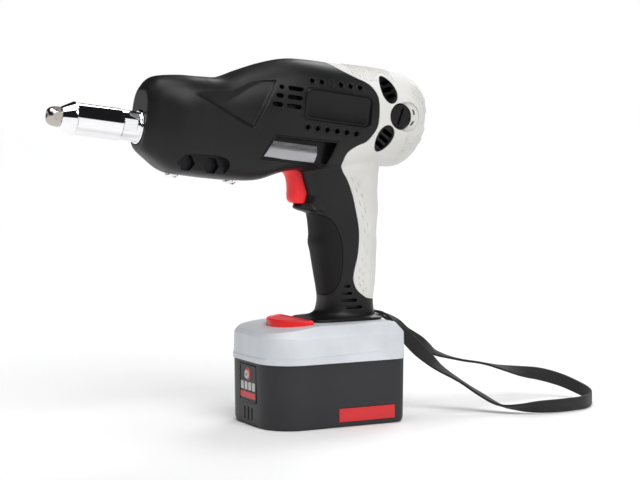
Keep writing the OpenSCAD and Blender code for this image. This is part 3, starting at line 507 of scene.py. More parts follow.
# %% Lofts, prisms, lathes and boxes
def bridge(bm, loops):
    """Faces between each ring of corners and the next."""
    faces = []
    for a, b in zip(loops, loops[1:]):
        for j in range(len(a)):
            k = (j + 1) % len(a)
            faces.append(bm.faces.new((a[j], a[k], b[k], b[j])))
    return faces


def add_loft(bm, rings):
    """Adds a closed skin through rings of points (mm) to a mesh in the making."""
    loops = [[bm.verts.new(Vector(p) * MM) for p in ring] for ring in rings]
    faces = bridge(bm, loops) + [bm.faces.new(loops[0][::-1]), bm.faces.new(loops[-1])]
    bmesh.ops.recalc_face_normals(bm, faces=faces)


def add_prism(bm, outline, near, far, place=in_head):
    """Adds a side view, drawn as along and up, drawn out across the tool between two distances."""
    add_loft(bm, [[place(a, y, b) for a, b in outline] for y in (near, far)])


def add_turned(bm, profile, middle, place=in_head, count=48):
    """Adds a solid turned about an axis across the tool: a profile of (across, radius)."""
    add_loft(bm, [[place(a, y, b) for a, b in disc(middle, r, count)] for y, r in profile])


def add_lathe(bm, profile, count=128):
    """Adds a ring-shaped skin: a closed profile of (back, radius) turned about the spindle."""
    turns = [2 * math.pi * k / count for k in range(count)]
    loops = [[bm.verts.new(Vector(in_head(back, radius * math.sin(a), radius * math.cos(a))) * MM) for a in turns]
             for back, radius in profile]
    bmesh.ops.recalc_face_normals(bm, faces=bridge(bm, [*loops, loops[0]]))


def add_box(bm, low, high):
    """Adds a box between two corners in the row frame."""
    corners = ((low[0], low[1]), (high[0], low[1]), (high[0], high[1]), (low[0], high[1]))
    add_loft(bm, upright(corners, (low[2], high[2])))


print("skins: loft, prism, turned, lathe, box")


# %% From a mesh in the making to an object
def piece_of(name, bm):
    """A mesh in the making becomes an object at the origin."""
    mesh = bpy.data.meshes.new(name)
    bm.to_mesh(mesh)
    bm.free()
    made = bpy.data.objects.new(name, mesh)
    scene.collection.objects.link(made)
    return made


def drawn(name, build):
    """An object from a function that draws a mesh."""
    bm = bmesh.new()
    build(bm)
    return piece_of(name, bm)


def loft_of(rings):
    """A function that draws a loft."""
    return lambda bm: add_loft(bm, rings)


def prism_of(outline, near, far, place=in_head):
    """A function that draws a prism."""
    return lambda bm: add_prism(bm, outline, near, far, place)


print("makers of objects")


# %% Booleans, copies and the last steps of a piece
def settle(piece):
    """Bakes a piece's modifiers into its mesh."""
    bpy.context.view_layer.update()
    graph = bpy.context.evaluated_depsgraph_get()
    mesh = bpy.data.meshes.new_from_object(piece.evaluated_get(graph))
    old = piece.data
    piece.modifiers.clear()
    piece.data = mesh
    bpy.data.meshes.remove(old)


def carve(piece, tool, how="DIFFERENCE"):
    """Cuts, joins or trims a piece with another solid."""
    before = len(piece.data.polygons)
    step = piece.modifiers.new("carve", "BOOLEAN")
    step.operation, step.solver, step.object = how, "MANIFOLD", tool
    settle(piece)
    if len(piece.data.polygons) in (0, before):
        print("  carve", piece.name, "with", tool.name, "changed nothing or emptied it")
    bpy.data.objects.remove(tool)


def carved(piece, name, build, how="DIFFERENCE"):
    """Cuts a piece with a solid that a function draws."""
    carve(piece, drawn(name, build), how)


def copy_of(piece, name):
    """A second piece with its own mesh."""
    made = bpy.data.objects.new(name, piece.data.copy())
    scene.collection.objects.link(made)
    return made


def finish_piece(piece, slot, body, *nodes, crease=34):
    """Finish, smooth shading up to an angle, and the place of a piece in the frame."""
    piece.data.name = piece.name
    piece.data.materials.clear()
    piece.data.materials.append(FINISH[slot])
    piece.data.shade_smooth()
    piece.data.set_sharp_from_angle(angle=math.radians(crease))
    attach(piece, body)
    if nodes:
        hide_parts(*nodes)
    print(piece.name, "-", len(piece.data.polygons), "faces")


print("cuts, copies and finished pieces")

# %% [markdown]
# ## The wrist strap
# A flat woven strap goes round a pin in the foot, twists onto its edge on the way down, runs out over the floor and
# comes back. Webbing this stiff keeps its loop, so its route is listed: points along the middle, each with the
# turn of the flat section about the run. A loft keeps the width true, and a UV map in millimetres makes the weave run
# along it.

# %% Strap
STRAP_WIDTH, STRAP_THICK, STRAP_CORNER = 10.0, 1.8, 0.8
# points along the middle, and the turn of the flat section in degrees
STRAP_ROUTE = [
    (41.6, 0, 76.2, 0), (42.3, 0, 77.1, 0), (43.5, 0, 77.5, 0), (48, 0, 76.8, 0), (54, 0, 75.2, 0),
    (62, 0.5, 71.5, 20), (70, 1, 65, 60), (76, 1.4, 58.5, 90), (89, 2, 51, 80), (99, 3, 45, 50),
    (108, 4, 40.5, 20), (128, 6, 34.5, 0), (148, 8, 30.5, 0), (167, 9, 25.5, 15), (185, 9, 21.5, 45),
    (202, 6, 18.5, 75), (216, -2, 14, 90), (224, -14, 9, 90), (224, -27, 6.4, 90), (217, -40, 5.4, 90),
    (205, -52, 5.4, 90), (192, -58, 5.4, 90), (174, -60, 5.4, 90), (157, -58, 5.4, 70), (145, -50, 4.6, 35),
    (134, -40, 5.8, 10), (123, -29, 13.5, 0), (111, -20, 23, 0), (99, -12, 32, -20), (92, -7.5, 39, -50),
    (84, -3.5, 47, -80), (77, -1.4, 55, -90), (70, -1, 62, -60), (62, -0.5, 68.6, -20), (54, 0, 72.9, 0),
    (48, 0, 74, 0), (43.5, 0, 73.5, 0), (42.3, 0, 73.9, 0), (41.6, 0, 74.8, 0),
]


def make_strap():
    """The strap's mesh, and the middle line that it follows."""
    rows = between(STRAP_ROUTE, 12)
    middle = [r[:3] for r in rows]
    section = plan_points(-STRAP_WIDTH / 2, STRAP_WIDTH / 2, STRAP_THICK / 2, STRAP_CORNER, STRAP_CORNER, 3)
    bm = bmesh.new()
    uv = bm.loops.layers.uv.new("run")
    loops, runs, run = [], [], 0.0
    for i, row in enumerate(rows):
        ahead = Vector(middle[min(i + 1, len(rows) - 1)] - middle[max(i - 1, 0)]).normalized()
        flat = Vector((-ahead.y, ahead.x, 0)).normalized()
        turn = math.radians(row[3])
        wide = math.cos(turn) * flat + math.sin(turn) * ahead.cross(flat)
        thin = ahead.cross(wide)
        if i:
            run += float(np.linalg.norm(middle[i] - middle[i - 1]))
        loops.append([bm.verts.new((Vector(middle[i]) + wide * a + thin * b) * MM) for a, b in section])
        runs.append(run)
    count = len(section)
    for i in range(len(loops) - 1):
        for j in range(count):
            k = (j + 1) % count
            face = bm.faces.new((loops[i][j], loops[i][k], loops[i + 1][k], loops[i + 1][j]))
            for loop, (a, b) in zip(face.loops, ((j, i), (k, i), (k, i + 1), (j, i + 1))):
                loop[uv].uv = (section[a][0] + STRAP_WIDTH / 2, runs[b])
    bm.faces.new(loops[0][::-1])
    bm.faces.new(loops[-1])
    bmesh.ops.recalc_face_normals(bm, faces=bm.faces)
    return piece_of("wrist_strap", bm), [tuple(Vector(p) * MM) for p in middle], run


strap, strap_middle, strap_run = make_strap()
finish_piece(strap, "webbing", "tool", "strap", crease=50)
print("strap length", round(strap_run), "mm")

# %% [markdown]
# ## The housing's outside form
# The head swells from a slim nose to the motor and the grip flows out of it. On the real mould they meet in a
# soft fillet, and two cheeks close round the trigger. Lofts alone would meet in hard lines, so they are melted into one
# skin with a voxel remesh and smoothed. The dent along the side of the head is then pressed in point by point, as a
# sculptor would.

# %% Rows of the head and the grip
# distance along the spindle, half width, underside, top, roundness above and below
HEAD_ROWS = [
    (-137, 14, -13, 26, 3, 3), (-135, 17, -16, 30, 3, 3), (-129, 21, -20, 36, 3, 3), (-114, 27.5, -28, 39, 2.9, 3),
    (-98, 29.5, -29, 40, 2.9, 3), (-82, 30, -29, 42, 2.8, 3.2), (-66, 30.5, -28.5, 49.5, 2.7, 3.6),
    (-50, 31, -26.5, 56.5, 2.6, 4), (-34, 31.5, -20, 61.5, 2.5, 4), (-18, 32, -16, 63, 2.4, 4),
    (4, 32.5, -15.5, 63.5, 2.3, 3.8), (30, 33, -11.5, 64.5, 2.25, 2.8), (50, 33, -6, 64.3, 2.2, 2.3),
    (62, 31, -4.5, 63, 2.2, 2.2), (70, 27, 0, 60, 2.2, 2.2), (76, 21, 7.5, 54, 2.2, 2.2),
    (79.5, 13, 16, 46, 2.2, 2.2), (81, 6, 24, 37, 2.2, 2.2),
]
# share of the grip's height, middle, half depth, half width, roundness
GRIP_ROWS = [
    (0, 18, 30, 23, 4.5), (0.011, 18, 30, 23, 4.5), (0.0145, 18.2, 29.2, 22.4, 4.3), (0.02, 21.6, 24.4, 21.4, 3),
    (0.035, 23.4, 21.6, 20, 2.7), (0.06, 24, 20.4, 19.3, 2.6), (0.12, 24.4, 19.8, 18.6, 2.5),
    (0.19, 24.5, 21, 18.5, 2.5), (0.29, 23.9, 22.9, 18.5, 2.5), (0.4, 22.9, 24.3, 19, 2.5),
    (0.455, 22.3, 25.3, 19.3, 2.5), (0.52, 22.3, 24.8, 19.5, 2.5), (0.65, 21.7, 26.6, 20, 2.6),
    (0.76, 17.5, 29, 22, 3), (0.88, 15.5, 31, 25, 3), (1.02, 15, 33, 27, 2.6),
]
FOOT_Z, GRIP_HEIGHT, WALL = 72.7, 121.8, 3.0
HEAD_FRONT, HEAD_LONG = -137, 218


def round_point(angle, roundness):
    """A point of a superellipse."""
    c, s = math.cos(angle), math.sin(angle)
    return math.copysign(abs(c) ** (2 / roundness), c), math.copysign(abs(s) ** (2 / roundness), s)


def head_ring(row, cut, count):
    """One ring of the head, inset by a wall."""
    u, w, low, high, above, below = row
    w, low, high = max(w - cut, 2), low + cut, high - cut
    back = HEAD_FRONT + cut + (u - HEAD_FRONT) * (HEAD_LONG - 2 * cut) / HEAD_LONG
    middle, rise = (low + high) / 2, max((high - low) / 2, 2)
    ring = []
    for j in range(count):
        x, y = round_point(2 * math.pi * j / count, above if 2 * j <= count else below)
        ring.append(in_head(back, w * x, middle + rise * y))
    return ring


def head_rings(cut, steps, count):
    """Rings of the whole head."""
    return [head_ring(row, cut, count) for row in between(HEAD_ROWS, steps)]


def grip_rings(cut, steps, count, first=0):
    """Rings of the grip from one of its rows upwards, inset by a wall."""
    rings = []
    for share, middle, depth, width, roundness in between(GRIP_ROWS[first:], steps):
        ring = []
        for j in range(count):
            x, y = round_point(2 * math.pi * j / count, roundness)
            ring.append((middle + (depth - cut) * x, (width - cut) * y, FOOT_Z + share * GRIP_HEIGHT))
        rings.append(ring)
    return rings


print(len(HEAD_ROWS), "rows of the head,", len(GRIP_ROWS), "of the grip")

# %% Melt head, grip, trigger cheeks and finger ledge into one form
SKIN_STEP = 0.8
# side view of the cheeks behind the trigger, from the head's underside down and round the tip of the ledge
CHEEK_LINE = [
    (-24, 184), (-20.8, 181.2), (-15.7, 179.4), (-12.1, 175.7), (-10.6, 171.1), (-10.6, 166.1), (-11.4, 161.6),
    (-12.6, 158.2), (-14.6, 156.3), (-16.4, 155.7), (-17.2, 154.6), (-16.6, 153.3), (-12.8, 151.7), (-9, 150.6),
    (-4, 148.6), (4, 146),
]
CHEEK_HALF, CHEEK_FLAT, CHEEK_FADE = 15.0, 8.0, 5.0
LEDGE_TOP, LEDGE_BLEND, LEDGE_ROUND = 156.6, 1.2, 9.5


def draw_form(bm):
    """Head, grip and cheeks, overlapping."""
    add_loft(bm, head_rings(0, 10, 96))
    add_loft(bm, grip_rings(0, 8, 96))
    outline = smooth_line(CHEEK_LINE, 4) + [(10, 146), (10, 186)]
    slices = []
    for y in np.linspace(-CHEEK_HALF, CHEEK_HALF, 41):
        fade = CHEEK_FADE * (max(abs(y) - CHEEK_FLAT, 0) / (CHEEK_HALF - CHEEK_FLAT)) ** 2
        bow = LEDGE_ROUND - math.sqrt(LEDGE_ROUND ** 2 - min(abs(y), LEDGE_ROUND) ** 2)
        part = [(x, z, min(max((LEDGE_TOP - z) / LEDGE_BLEND, 0), 1)) for x, z in outline]
        slices.append([in_row(x + (x < 3) * (fade + low * (bow - fade)), y, z) for x, z, low in part])
    add_loft(bm, slices)


form = drawn("form", draw_form)
skin = form.modifiers.new("skin", "REMESH")
skin.mode, skin.voxel_size = "VOXEL", SKIN_STEP * MM
soften = form.modifiers.new("soften", "SMOOTH")
soften.factor, soften.iterations = 0.5, 7
settle(form)
print("form:", len(form.data.polygons), "faces")

# %% Press the dent into both sides of the head
SCOOP = [(-125, 26.4), (-124, 28.4), (-110, 32), (-89.5, 34), (-75, 39.3), (-62, 42), (-48, 44), (-64, 8),
         (-73.3, 11.2), (-88, 17.4), (-102.2, 23.3), (-110.9, 26.6), (-117.1, 27.2)]
SCOOP_DEPTH, SCOOP_EDGE = 2.0, 1.5
SCOOP_FLOOR, SCOOP_LOW, SCOOP_LEAN = 28.9, 8, math.radians(9.5)


def inside_depth(points, outline):
    """How far each point lies inside an outline, and below zero outside."""
    best = np.full(len(points), 1e9)
    inside = np.zeros(len(points), bool)
    for (x0, y0), (x1, y1) in zip(outline, outline[1:] + outline[:1]):
        edge = np.array((x1 - x0, y1 - y0))
        share = np.clip(((points - (x0, y0)) @ edge) / (edge @ edge), 0, 1)
        best = np.minimum(best, np.linalg.norm(points - (x0, y0) - share[:, None] * edge, axis=1))
        crosses = (points[:, 1] < y0) != (points[:, 1] < y1)
        at = x0 + (points[:, 1] - y0) / (y1 - y0 if y1 != y0 else 1e-9) * (x1 - x0)
        inside ^= crosses & (points[:, 0] < at)
    return np.where(inside, best, -best)


def head_axes(places):
    """Row-frame points (mm) as distance back along the spindle, across, and up."""
    x, z = places[:, 0], places[:, 2] - AXIS_HEIGHT
    return np.stack((x * math.cos(TILT) - z * math.sin(TILT), places[:, 1],
                     x * math.sin(TILT) + z * math.cos(TILT)), axis=1)


def press_scoop(piece):
    """Moves the skin in where the dent is, deepest towards its upper edge."""
    places = np.empty(len(piece.data.vertices) * 3)
    piece.data.vertices.foreach_get("co", places)
    places = places.reshape(-1, 3) / MM
    own = head_axes(places)
    depth = np.clip(inside_depth(own[:, [0, 2]], SCOOP) / SCOOP_EDGE, 0, 1)
    floor = SCOOP_FLOOR - (own[:, 2] - SCOOP_LOW) * math.tan(SCOOP_LEAN)
    wanted = np.clip(np.abs(own[:, 1]) - floor, 0, SCOOP_DEPTH)
    moved = wanted * depth * depth * (3 - 2 * depth) * (np.abs(own[:, 1]) > 12)
    places[:, 1] -= np.sign(places[:, 1]) * moved
    piece.data.vertices.foreach_set("co", (places * MM).ravel())
    piece.data.update()
    print("pressed", int((moved > 0.05).sum()), "points, deepest", round(float(moved.max()), 2), "mm")


press_scoop(form)

# %% [markdown]
# ## Hollow it, open it, and split it
# A moulded housing is a thin wall with posts for its screws, so the inside is cut away around the posts. The openings
# follow: vents, dimples, the label recess, the nut pockets, the trigger's room and the nose hole. Last, the wall is
# split into black shells and pale rear covers, left and right, with a fine parting line.

# %% Cut the hollow
CLAMP_SPOTS = [(-107, -20.5), (-89, -20.5)]
HEAD_POSTS, REAR_POST = [(-120, 27), (-70, 38)], (72, 13)
GRIP_POST, COVER_POST = (17, 96), (38, 152)
CAP_SPOT = (49.5, 30.5)
NUT_RECESS = [(-115.1, -23.9), (-113.2, -18), (-108.4, -14.6), (-98, -13.9), (-87.6, -13.6), (-81.1, -14.8),
              (-78.1, -17.8), (-77.8, -22), (-80.5, -27.5), (-90, -30), (-105, -30.5), (-112.5, -29)]
NUT_FLOOR, RECESS_BACK, RECESS_WALL = 20.5, 17.5, 2.5
POST_R, BOSS_R, BOSS_BACK, CAP_BOSS_R, CAP_BOSS_BACK = 4, 8.5, 9.2, 9, 25.2
# steps between rows and points of a ring
COARSE, FINE = (4, 64), (8, 96)
OUTSIDE = 60  # a distance across the tool that lies past every skin
SIDES = (("left", -1), ("right", 1))


def draw_posts(bm):
    """Screw posts and bolt bosses, which stay when the inside is cut away."""
    for spot in [*HEAD_POSTS, REAR_POST]:
        add_prism(bm, disc(spot, POST_R), -OUTSIDE, OUTSIDE)
    for spot in (GRIP_POST, COVER_POST):
        add_prism(bm, disc(spot, POST_R), -OUTSIDE, OUTSIDE, in_row)
    for _, side in SIDES:
        for spot in CLAMP_SPOTS:
            add_prism(bm, disc(spot, BOSS_R), side * BOSS_BACK, side * OUTSIDE)
        add_prism(bm, disc(CAP_SPOT, CAP_BOSS_R), side * CAP_BOSS_BACK, side * OUTSIDE)


def draw_recess_floor(bm):
    """The floor and the wall of the nut recesses, which stay too."""
    for _, side in SIDES:
        add_prism(bm, inset_points(nut_outline, -RECESS_WALL), side * RECESS_BACK, side * OUTSIDE)


nut_outline = closed_line(NUT_RECESS, 4)
hollow = drawn("hollow", loft_of(head_rings(WALL, *COARSE)))
carved(hollow, "grip_hollow", loft_of(grip_rings(WALL, *COARSE, first=6)), "UNION")
carved(hollow, "posts", draw_posts)
carved(hollow, "recess_floor", draw_recess_floor)
body = copy_of(form, "body")
carve(body, hollow)
print("body:", len(body.data.polygons), "faces")

# %% Openings in the sides, the nose and the foot
LABEL_SIDE, LABEL_MID, LABEL_HALF, LABEL_CORNER, LABEL_FLOOR = -1, (-1.6, 30.2), (26.4, 11.1), 4, 30.9
UPPER_DIMPLES = [(-22.4 + 7.6 * i, 46.6) for i in range(6)]
LOWER_DIMPLES = [(-23.9 + 7.65 * i, 13.8) for i in range(6)]
FILLED = 2
DIMPLE_R, DIMPLE_DEPTH, PLUG_DEPTH = 1.75, 20.0, 27.6
VENT_ROWS, VENT_DEPTH = (26.8, 33, 39.2), 20
# rows of the grip's vents: height, front end and rear end
GRIP_VENTS = ((97.4, 15.4, 18.1), (92.2, 14, 19.4), (87.2, 12.8, 23.3), (82.2, 16.7, 27.3))
GRIP_VENT_R, GRIP_VENT_DEPTH = 1.15, 15.2
TRIGGER_ROOM = [(-33.5, 156.6), (5, 156.6), (5, 182.4), (-33.5, 182.4)]
STRAP_NOTCH = [(40.2, 71.7), (52.2, 71.7), (52.2, 78.7), (40.2, 78.7)]
TRIGGER_ROOM_HALF, STRAP_NOTCH_HALF, NOSE_HOLE_R = 8.1, 6.5, 12.2


def label_plan(inset):
    """Outline of the label recess, inset."""
    long, high = LABEL_HALF[0] - inset, LABEL_HALF[1] - inset
    return [(LABEL_MID[0] + x, LABEL_MID[1] + y)
            for x, y in plan_points(-long, long, high, LABEL_CORNER, LABEL_CORNER, 8)]


def draw_openings(bm):
    """Label recess, dimples, head vents, nut recesses and grip vents."""
    add_prism(bm, label_plan(0), LABEL_SIDE * LABEL_FLOOR, LABEL_SIDE * OUTSIDE)
    for _, side in SIDES:
        for row in (UPPER_DIMPLES, LOWER_DIMPLES):
            for i, spot in enumerate(row):
                depth = PLUG_DEPTH if i == FILLED else DIMPLE_DEPTH
                add_prism(bm, disc(spot, DIMPLE_R), side * depth, side * OUTSIDE)
        for i, up in enumerate(VENT_ROWS):
            short = slot_plan((-50.9 + 2.55 * i, up), (-46.1 + 0.3 * i, up), 1.6)
            long = slot_plan((-40.2 + 0.4 * i, up), (-31.8 + 0.4 * i, up), 1.55)
            for slot in (short, long):
                add_prism(bm, slot, side * VENT_DEPTH, side * OUTSIDE)
        add_prism(bm, nut_outline, side * NUT_FLOOR, side * OUTSIDE)
        for up, front, rear in GRIP_VENTS:
            slot = slot_plan((front, up), (rear, up), GRIP_VENT_R)
            add_prism(bm, slot, side * GRIP_VENT_DEPTH, side * OUTSIDE, in_row)


def draw_rooms(bm):
    """Trigger room, nose hole and the notch that the strap leaves by."""
    add_prism(bm, TRIGGER_ROOM, -TRIGGER_ROOM_HALF, TRIGGER_ROOM_HALF, in_row)
    add_loft(bm, along_spindle(disc((0, 0), NOSE_HOLE_R, 64), (-145, -125)))
    add_prism(bm, STRAP_NOTCH, -STRAP_NOTCH_HALF, STRAP_NOTCH_HALF, in_row)


carved(body, "openings", draw_openings)
carved(body, "rooms", draw_rooms)
print("body with openings:", len(body.data.polygons), "faces")

# %% Recesses for the soft grip panels
PANEL_EDGE = [(-24, 150.9), (-10.5, 150.2), (-1.3, 148.9), (4.9, 145), (9.4, 138), (12.3, 128.8), (13.4, 118.7),
              (13.1, 109), (11.6, 101.2), (9.4, 95.6), (5.7, 91.2), (-0.5, 88.2), (-7.5, 87.6), (-24, 87.4)]
PANEL_DEEP, PANEL_GAP, PANEL_ROW = 1.6, 0.35, 4
panel_room = drawn("panel_room", prism_of(smooth_line(PANEL_EDGE), -OUTSIDE, OUTSIDE, in_row))
carved(panel_room, "grip_core", loft_of(grip_rings(PANEL_DEEP, *FINE, first=PANEL_ROW)))
carve(body, panel_room)
print("body with recesses:", len(body.data.polygons), "faces")

# %% Split into shells and covers
COVER_EDGE = [
    (1, 262), (4, 257), (10, 251.7), (18.5, 246.8), (28.9, 241.5), (33.8, 234.6), (34.8, 227.7),
    (33.5, 213.3), (29.6, 206.2), (23.9, 200.8), (17.3, 198.2), (10, 193.6), (7.5, 187), (8.5, 181), (14.4, 172),
    (19.7, 160.7), (23.8, 146.3), (25.5, 134), (24.7, 119.6), (22.2, 108.9), (21.4, 101.8), (23.9, 95.2), (29, 90.6),
    (36.5, 87.4), (60, 86),
]
SEAM, PARTING = 0.4, 0.07
HALF_SPACE = [(-300, -20), (300, -20), (300, 400), (-300, 400)]


def seam_outline(shift):
    """The rear cover's outline seen from the side, its seam moved to the rear by a shift."""
    line = np.array(smooth_line(COVER_EDGE, 6))
    run = np.gradient(line, axis=0)
    out = np.stack((run[:, 1], -run[:, 0]), axis=1) / np.linalg.norm(run, axis=1)[:, None]
    line = line - out * shift
    return [tuple(p) for p in line] + [(120, 86), (120, 262)]


def draw_half(side):
    """Everything on one side of the parting line."""
    return prism_of(HALF_SPACE, side * PARTING, side * 90, in_row)


halves = {}
for label, shift, how in (("shell", -SEAM / 2, "DIFFERENCE"), ("cover", SEAM / 2, "INTERSECT")):
    whole = copy_of(body, label)
    carved(whole, "rear_zone", prism_of(seam_outline(shift), -OUTSIDE, OUTSIDE, in_row), how)
    for side_name, side in SIDES:
        half = copy_of(whole, side_name + "_" + label + "_skin")
        carved(half, "half", draw_half(side), "INTERSECT")
        halves[side_name, label] = half
    bpy.data.objects.remove(whole)
bpy.data.objects.remove(body)
print("halves:", {"_".join(k): len(v.data.polygons) for k, v in halves.items()})

# %% Nut pockets, selector window and screw wells
SELECTOR_PLAN, SELECTOR_BACK = [(-48, 5.9), (1.9, 6.9), (-3, -11.6), (-57.2, -12.3)], 18
NUT_R, BOLT_HEAD_R, CLAMP_FLOOR = 5.9, 5.6, 11.3
WELL_R, SHELL_WELL, COVER_WELL = 3.6, 12, 11


def draw_nut_pockets(bm):
    """Hexagon pockets for the nuts."""
    for spot in CLAMP_SPOTS:
        add_prism(bm, disc(spot, NUT_R, 6), -OUTSIDE, -CLAMP_FLOOR)


def draw_shell_wells(bm):
    """Round pockets for the bolt heads and the wells of the housing screws."""
    for spot in CLAMP_SPOTS:
        add_prism(bm, disc(spot, BOLT_HEAD_R), CLAMP_FLOOR, OUTSIDE)
    for spot in HEAD_POSTS:
        add_prism(bm, disc(spot, WELL_R), SHELL_WELL, OUTSIDE)
    add_prism(bm, disc(GRIP_POST, WELL_R), SHELL_WELL, OUTSIDE, in_row)


def draw_cover_wells(bm):
    """Wells of the two screws that hold the right cover."""
    add_prism(bm, disc(REAR_POST, WELL_R), COVER_WELL, OUTSIDE)
    add_prism(bm, disc(COVER_POST, WELL_R), COVER_WELL, OUTSIDE, in_row)


carved(halves["left", "shell"], "nut_pockets", draw_nut_pockets)
carved(halves["left", "shell"], "selector_window", prism_of(SELECTOR_PLAN, -OUTSIDE, -SELECTOR_BACK))
carved(halves["right", "shell"], "wells", draw_shell_wells)
carved(halves["right", "cover"], "cover_wells", draw_cover_wells)
print("pockets and wells cut")

# %% Openings of the rear covers
CAP_POCKET, CAP_POCKET_R, CAP_POCKET_FLOOR = (55, 31), 10.8, 29.0
CAP_SEAT_R, CAP_SEAT_FLOOR, BRUSH_HOLE_R, BRUSH_HOLE_DEPTH = 9.6, 28.2, 6.4, 10
FLOOR_SLOTS, FLOOR_SLOT_R, FLOOR_SLOT_DEPTH = (((60.6, 36.4), (61.8, 33.6)), ((61.8, 28.2), (60.2, 25.8))), 0.75, 24
# vent inserts: middle, lean in degrees, half length, half width
GRILLES = (((37.6, 13.2), 63, 10.3, 6.3), ((38.6, 48.4), -70, 10, 6.1))
EGG, INSERT_ROOM, INSERT_BACK = 0.13, 0.2, 15


def in_grille(middle, lean, along, across):
    """A place in a vent insert's own axes."""
    c, s = math.cos(math.radians(lean)), math.sin(math.radians(lean))
    return (middle[0] + c * along - s * across, middle[1] + s * along + c * across)


def grille_plan(grille, grow=0.0, count=40):
    """The egg-shaped outline of a vent insert, wider at one end."""
    middle, lean, long, short = grille
    angles = [2 * math.pi * k / count for k in range(count)]
    return [in_grille(middle, lean, (long + grow) * math.cos(a),
                      (short + grow) * math.sin(a) * (1 + EGG * math.cos(a))) for a in angles]


def draw_cover_openings(side):
    """Counterbore of the brush cap and rooms of the vent inserts."""
    def draw(bm):
        """Draws them on one side."""
        add_prism(bm, disc(CAP_SPOT, CAP_SEAT_R, 64), side * CAP_SEAT_FLOOR, side * OUTSIDE)
        for grille in GRILLES:
            add_prism(bm, grille_plan(grille, INSERT_ROOM), side * INSERT_BACK, side * OUTSIDE)
    return draw


def draw_cap_holes(side):
    """The brush's hole and two slots in the pocket's floor."""
    def draw(bm):
        """Draws them on one side."""
        add_prism(bm, disc(CAP_SPOT, BRUSH_HOLE_R, 48), side * BRUSH_HOLE_DEPTH, side * OUTSIDE)
        for ends in FLOOR_SLOTS:
            add_prism(bm, slot_plan(*ends, FLOOR_SLOT_R), side * FLOOR_SLOT_DEPTH, side * OUTSIDE)
    return draw


for side_name, side in SIDES:
    cover = halves[side_name, "cover"]
    pocket = disc(CAP_POCKET, CAP_POCKET_R, 64)
    carved(cover, "cover_openings", draw_cover_openings(side))
    carved(cover, "cap_pocket", prism_of(pocket, side * CAP_POCKET_FLOOR, side * OUTSIDE))
    carved(cover, "cap_holes", draw_cap_holes(side))
    print(cover.name, "opened")

# %% Rails under the foot, and the finished housing
# half of the rail that the pack slides on, a neck and a wider flange, as (across, up)
RAIL = [(PARTING, 72.9), (13, 72.9), (13, 69.3), (18, 69.3), (18, 65.7), (PARTING, 65.7)]
RAIL_ENDS = (-6, 38)
CONTACT_ROWS, CONTACT_ENDS, CONTACT_HALF = (-11, 0, 11), (-2, 28.1), 2.05


def draw_contacts(low, high):
    """Rooms of the three contacts between two heights."""
    def draw(bm):
        """Draws the three rooms."""
        for y in CONTACT_ROWS:
            add_box(bm, (CONTACT_ENDS[0], y - CONTACT_HALF, low), (CONTACT_ENDS[1], y + CONTACT_HALF, high))
    return draw


for side_name, side in SIDES:
    shell = halves[side_name, "shell"]
    carved(shell, "rail", loft_of(along_tool([(side * y, z) for y, z in RAIL], RAIL_ENDS)), "UNION")
    carved(shell, "contact_rooms", draw_contacts(64.7, 66.51))
    finish_piece(shell, "black_plastic", "tool", side_name + "_shell")
    finish_piece(halves[side_name, "cover"], "pale_rubber", "tool", side_name + "_cover")

# %% [markdown]
# ## Fittings in the housing
# The label plate, the vent inserts, the brush caps and the selector are separate mouldings that follow the skin.
# The vent inserts and the selector are trimmed out of a copy of the uncarved form, moved in by a fraction of a
# millimetre, so their faces run with the surface around them.


# %% Slices of the skin
def sunk_form(name, depth, side):
    """A copy of the form, moved inwards from one side."""
    piece = copy_of(form, name)
    piece.data.transform(Matrix.Translation((0, -side * depth * MM, 0)))
    return piece


def slice_of_skin(name, outline, near, sink, side):
    """A solid under the skin inside an outline, its face sunk below the surface, open inwards to a distance."""
    piece = sunk_form(name, sink, side)
    carved(piece, "outline", prism_of(outline, side * near, side * OUTSIDE), "INTERSECT")
    return piece


def sink_face(piece, outline, depth, side):
    """Lowers the face of a slice inside an outline to a depth below the surface."""
    tool = drawn("sunk", prism_of(outline, side * 5, side * OUTSIDE))
    carve(tool, sunk_form("above", depth, side))
    carve(piece, tool)


print("slices of the skin")

# %% A plain glossy plate on the left side
# inset and distance across
PLATE_LEVELS = ((0.45, 30.92), (0.45, 31.35), (0.75, 31.6), (1.6, 31.66), (2.2, 31.5))
plate_rings = [[in_head(a, LABEL_SIDE * y, b) for a, b in label_plan(inset)] for inset, y in PLATE_LEVELS]
finish_piece(drawn("left_label_plate", loft_of(plate_rings)), "black_trim", "tool")

# %% Vent inserts with three slots each
INSERT_SINK, INSERT_RIM, INSERT_FACE, INSERT_DEEP = 0.5, 1.1, 1.3, 3.8
SLOT_STEP, SLOT_R, SLOT_MARGIN = 4.9, 1.6, 3.1


def draw_slots(grille, side):
    """Three slots across a vent insert."""
    middle, lean, long, short = grille

    def draw(bm):
        """Draws them on one side."""
        for t in (-SLOT_STEP, 0, SLOT_STEP):
            half = (short - SLOT_MARGIN) * (1 + EGG * t / long) * math.sqrt(1 - (t / long) ** 2)
            ends = [in_grille(middle, lean, t, h) for h in (-half, half)]
            add_prism(bm, slot_plan(*ends, SLOT_R), side * 5, side * OUTSIDE)
    return draw


made = []
for _, side in SIDES:
    for grille in GRILLES:
        insert = slice_of_skin("vent_inserts", grille_plan(grille), INSERT_BACK - 1, INSERT_SINK, side)
        sink_face(insert, grille_plan(grille, -INSERT_RIM), INSERT_FACE, side)
        carve(insert, sunk_form("inner", INSERT_DEEP, side))
        carved(insert, "slots", draw_slots(grille, side))
        made.append(insert)
inserts = made[0]
for insert in made[1:]:
    carve(inserts, insert, "UNION")
finish_piece(inserts, "black_trim", "tool", "vent_grilles")
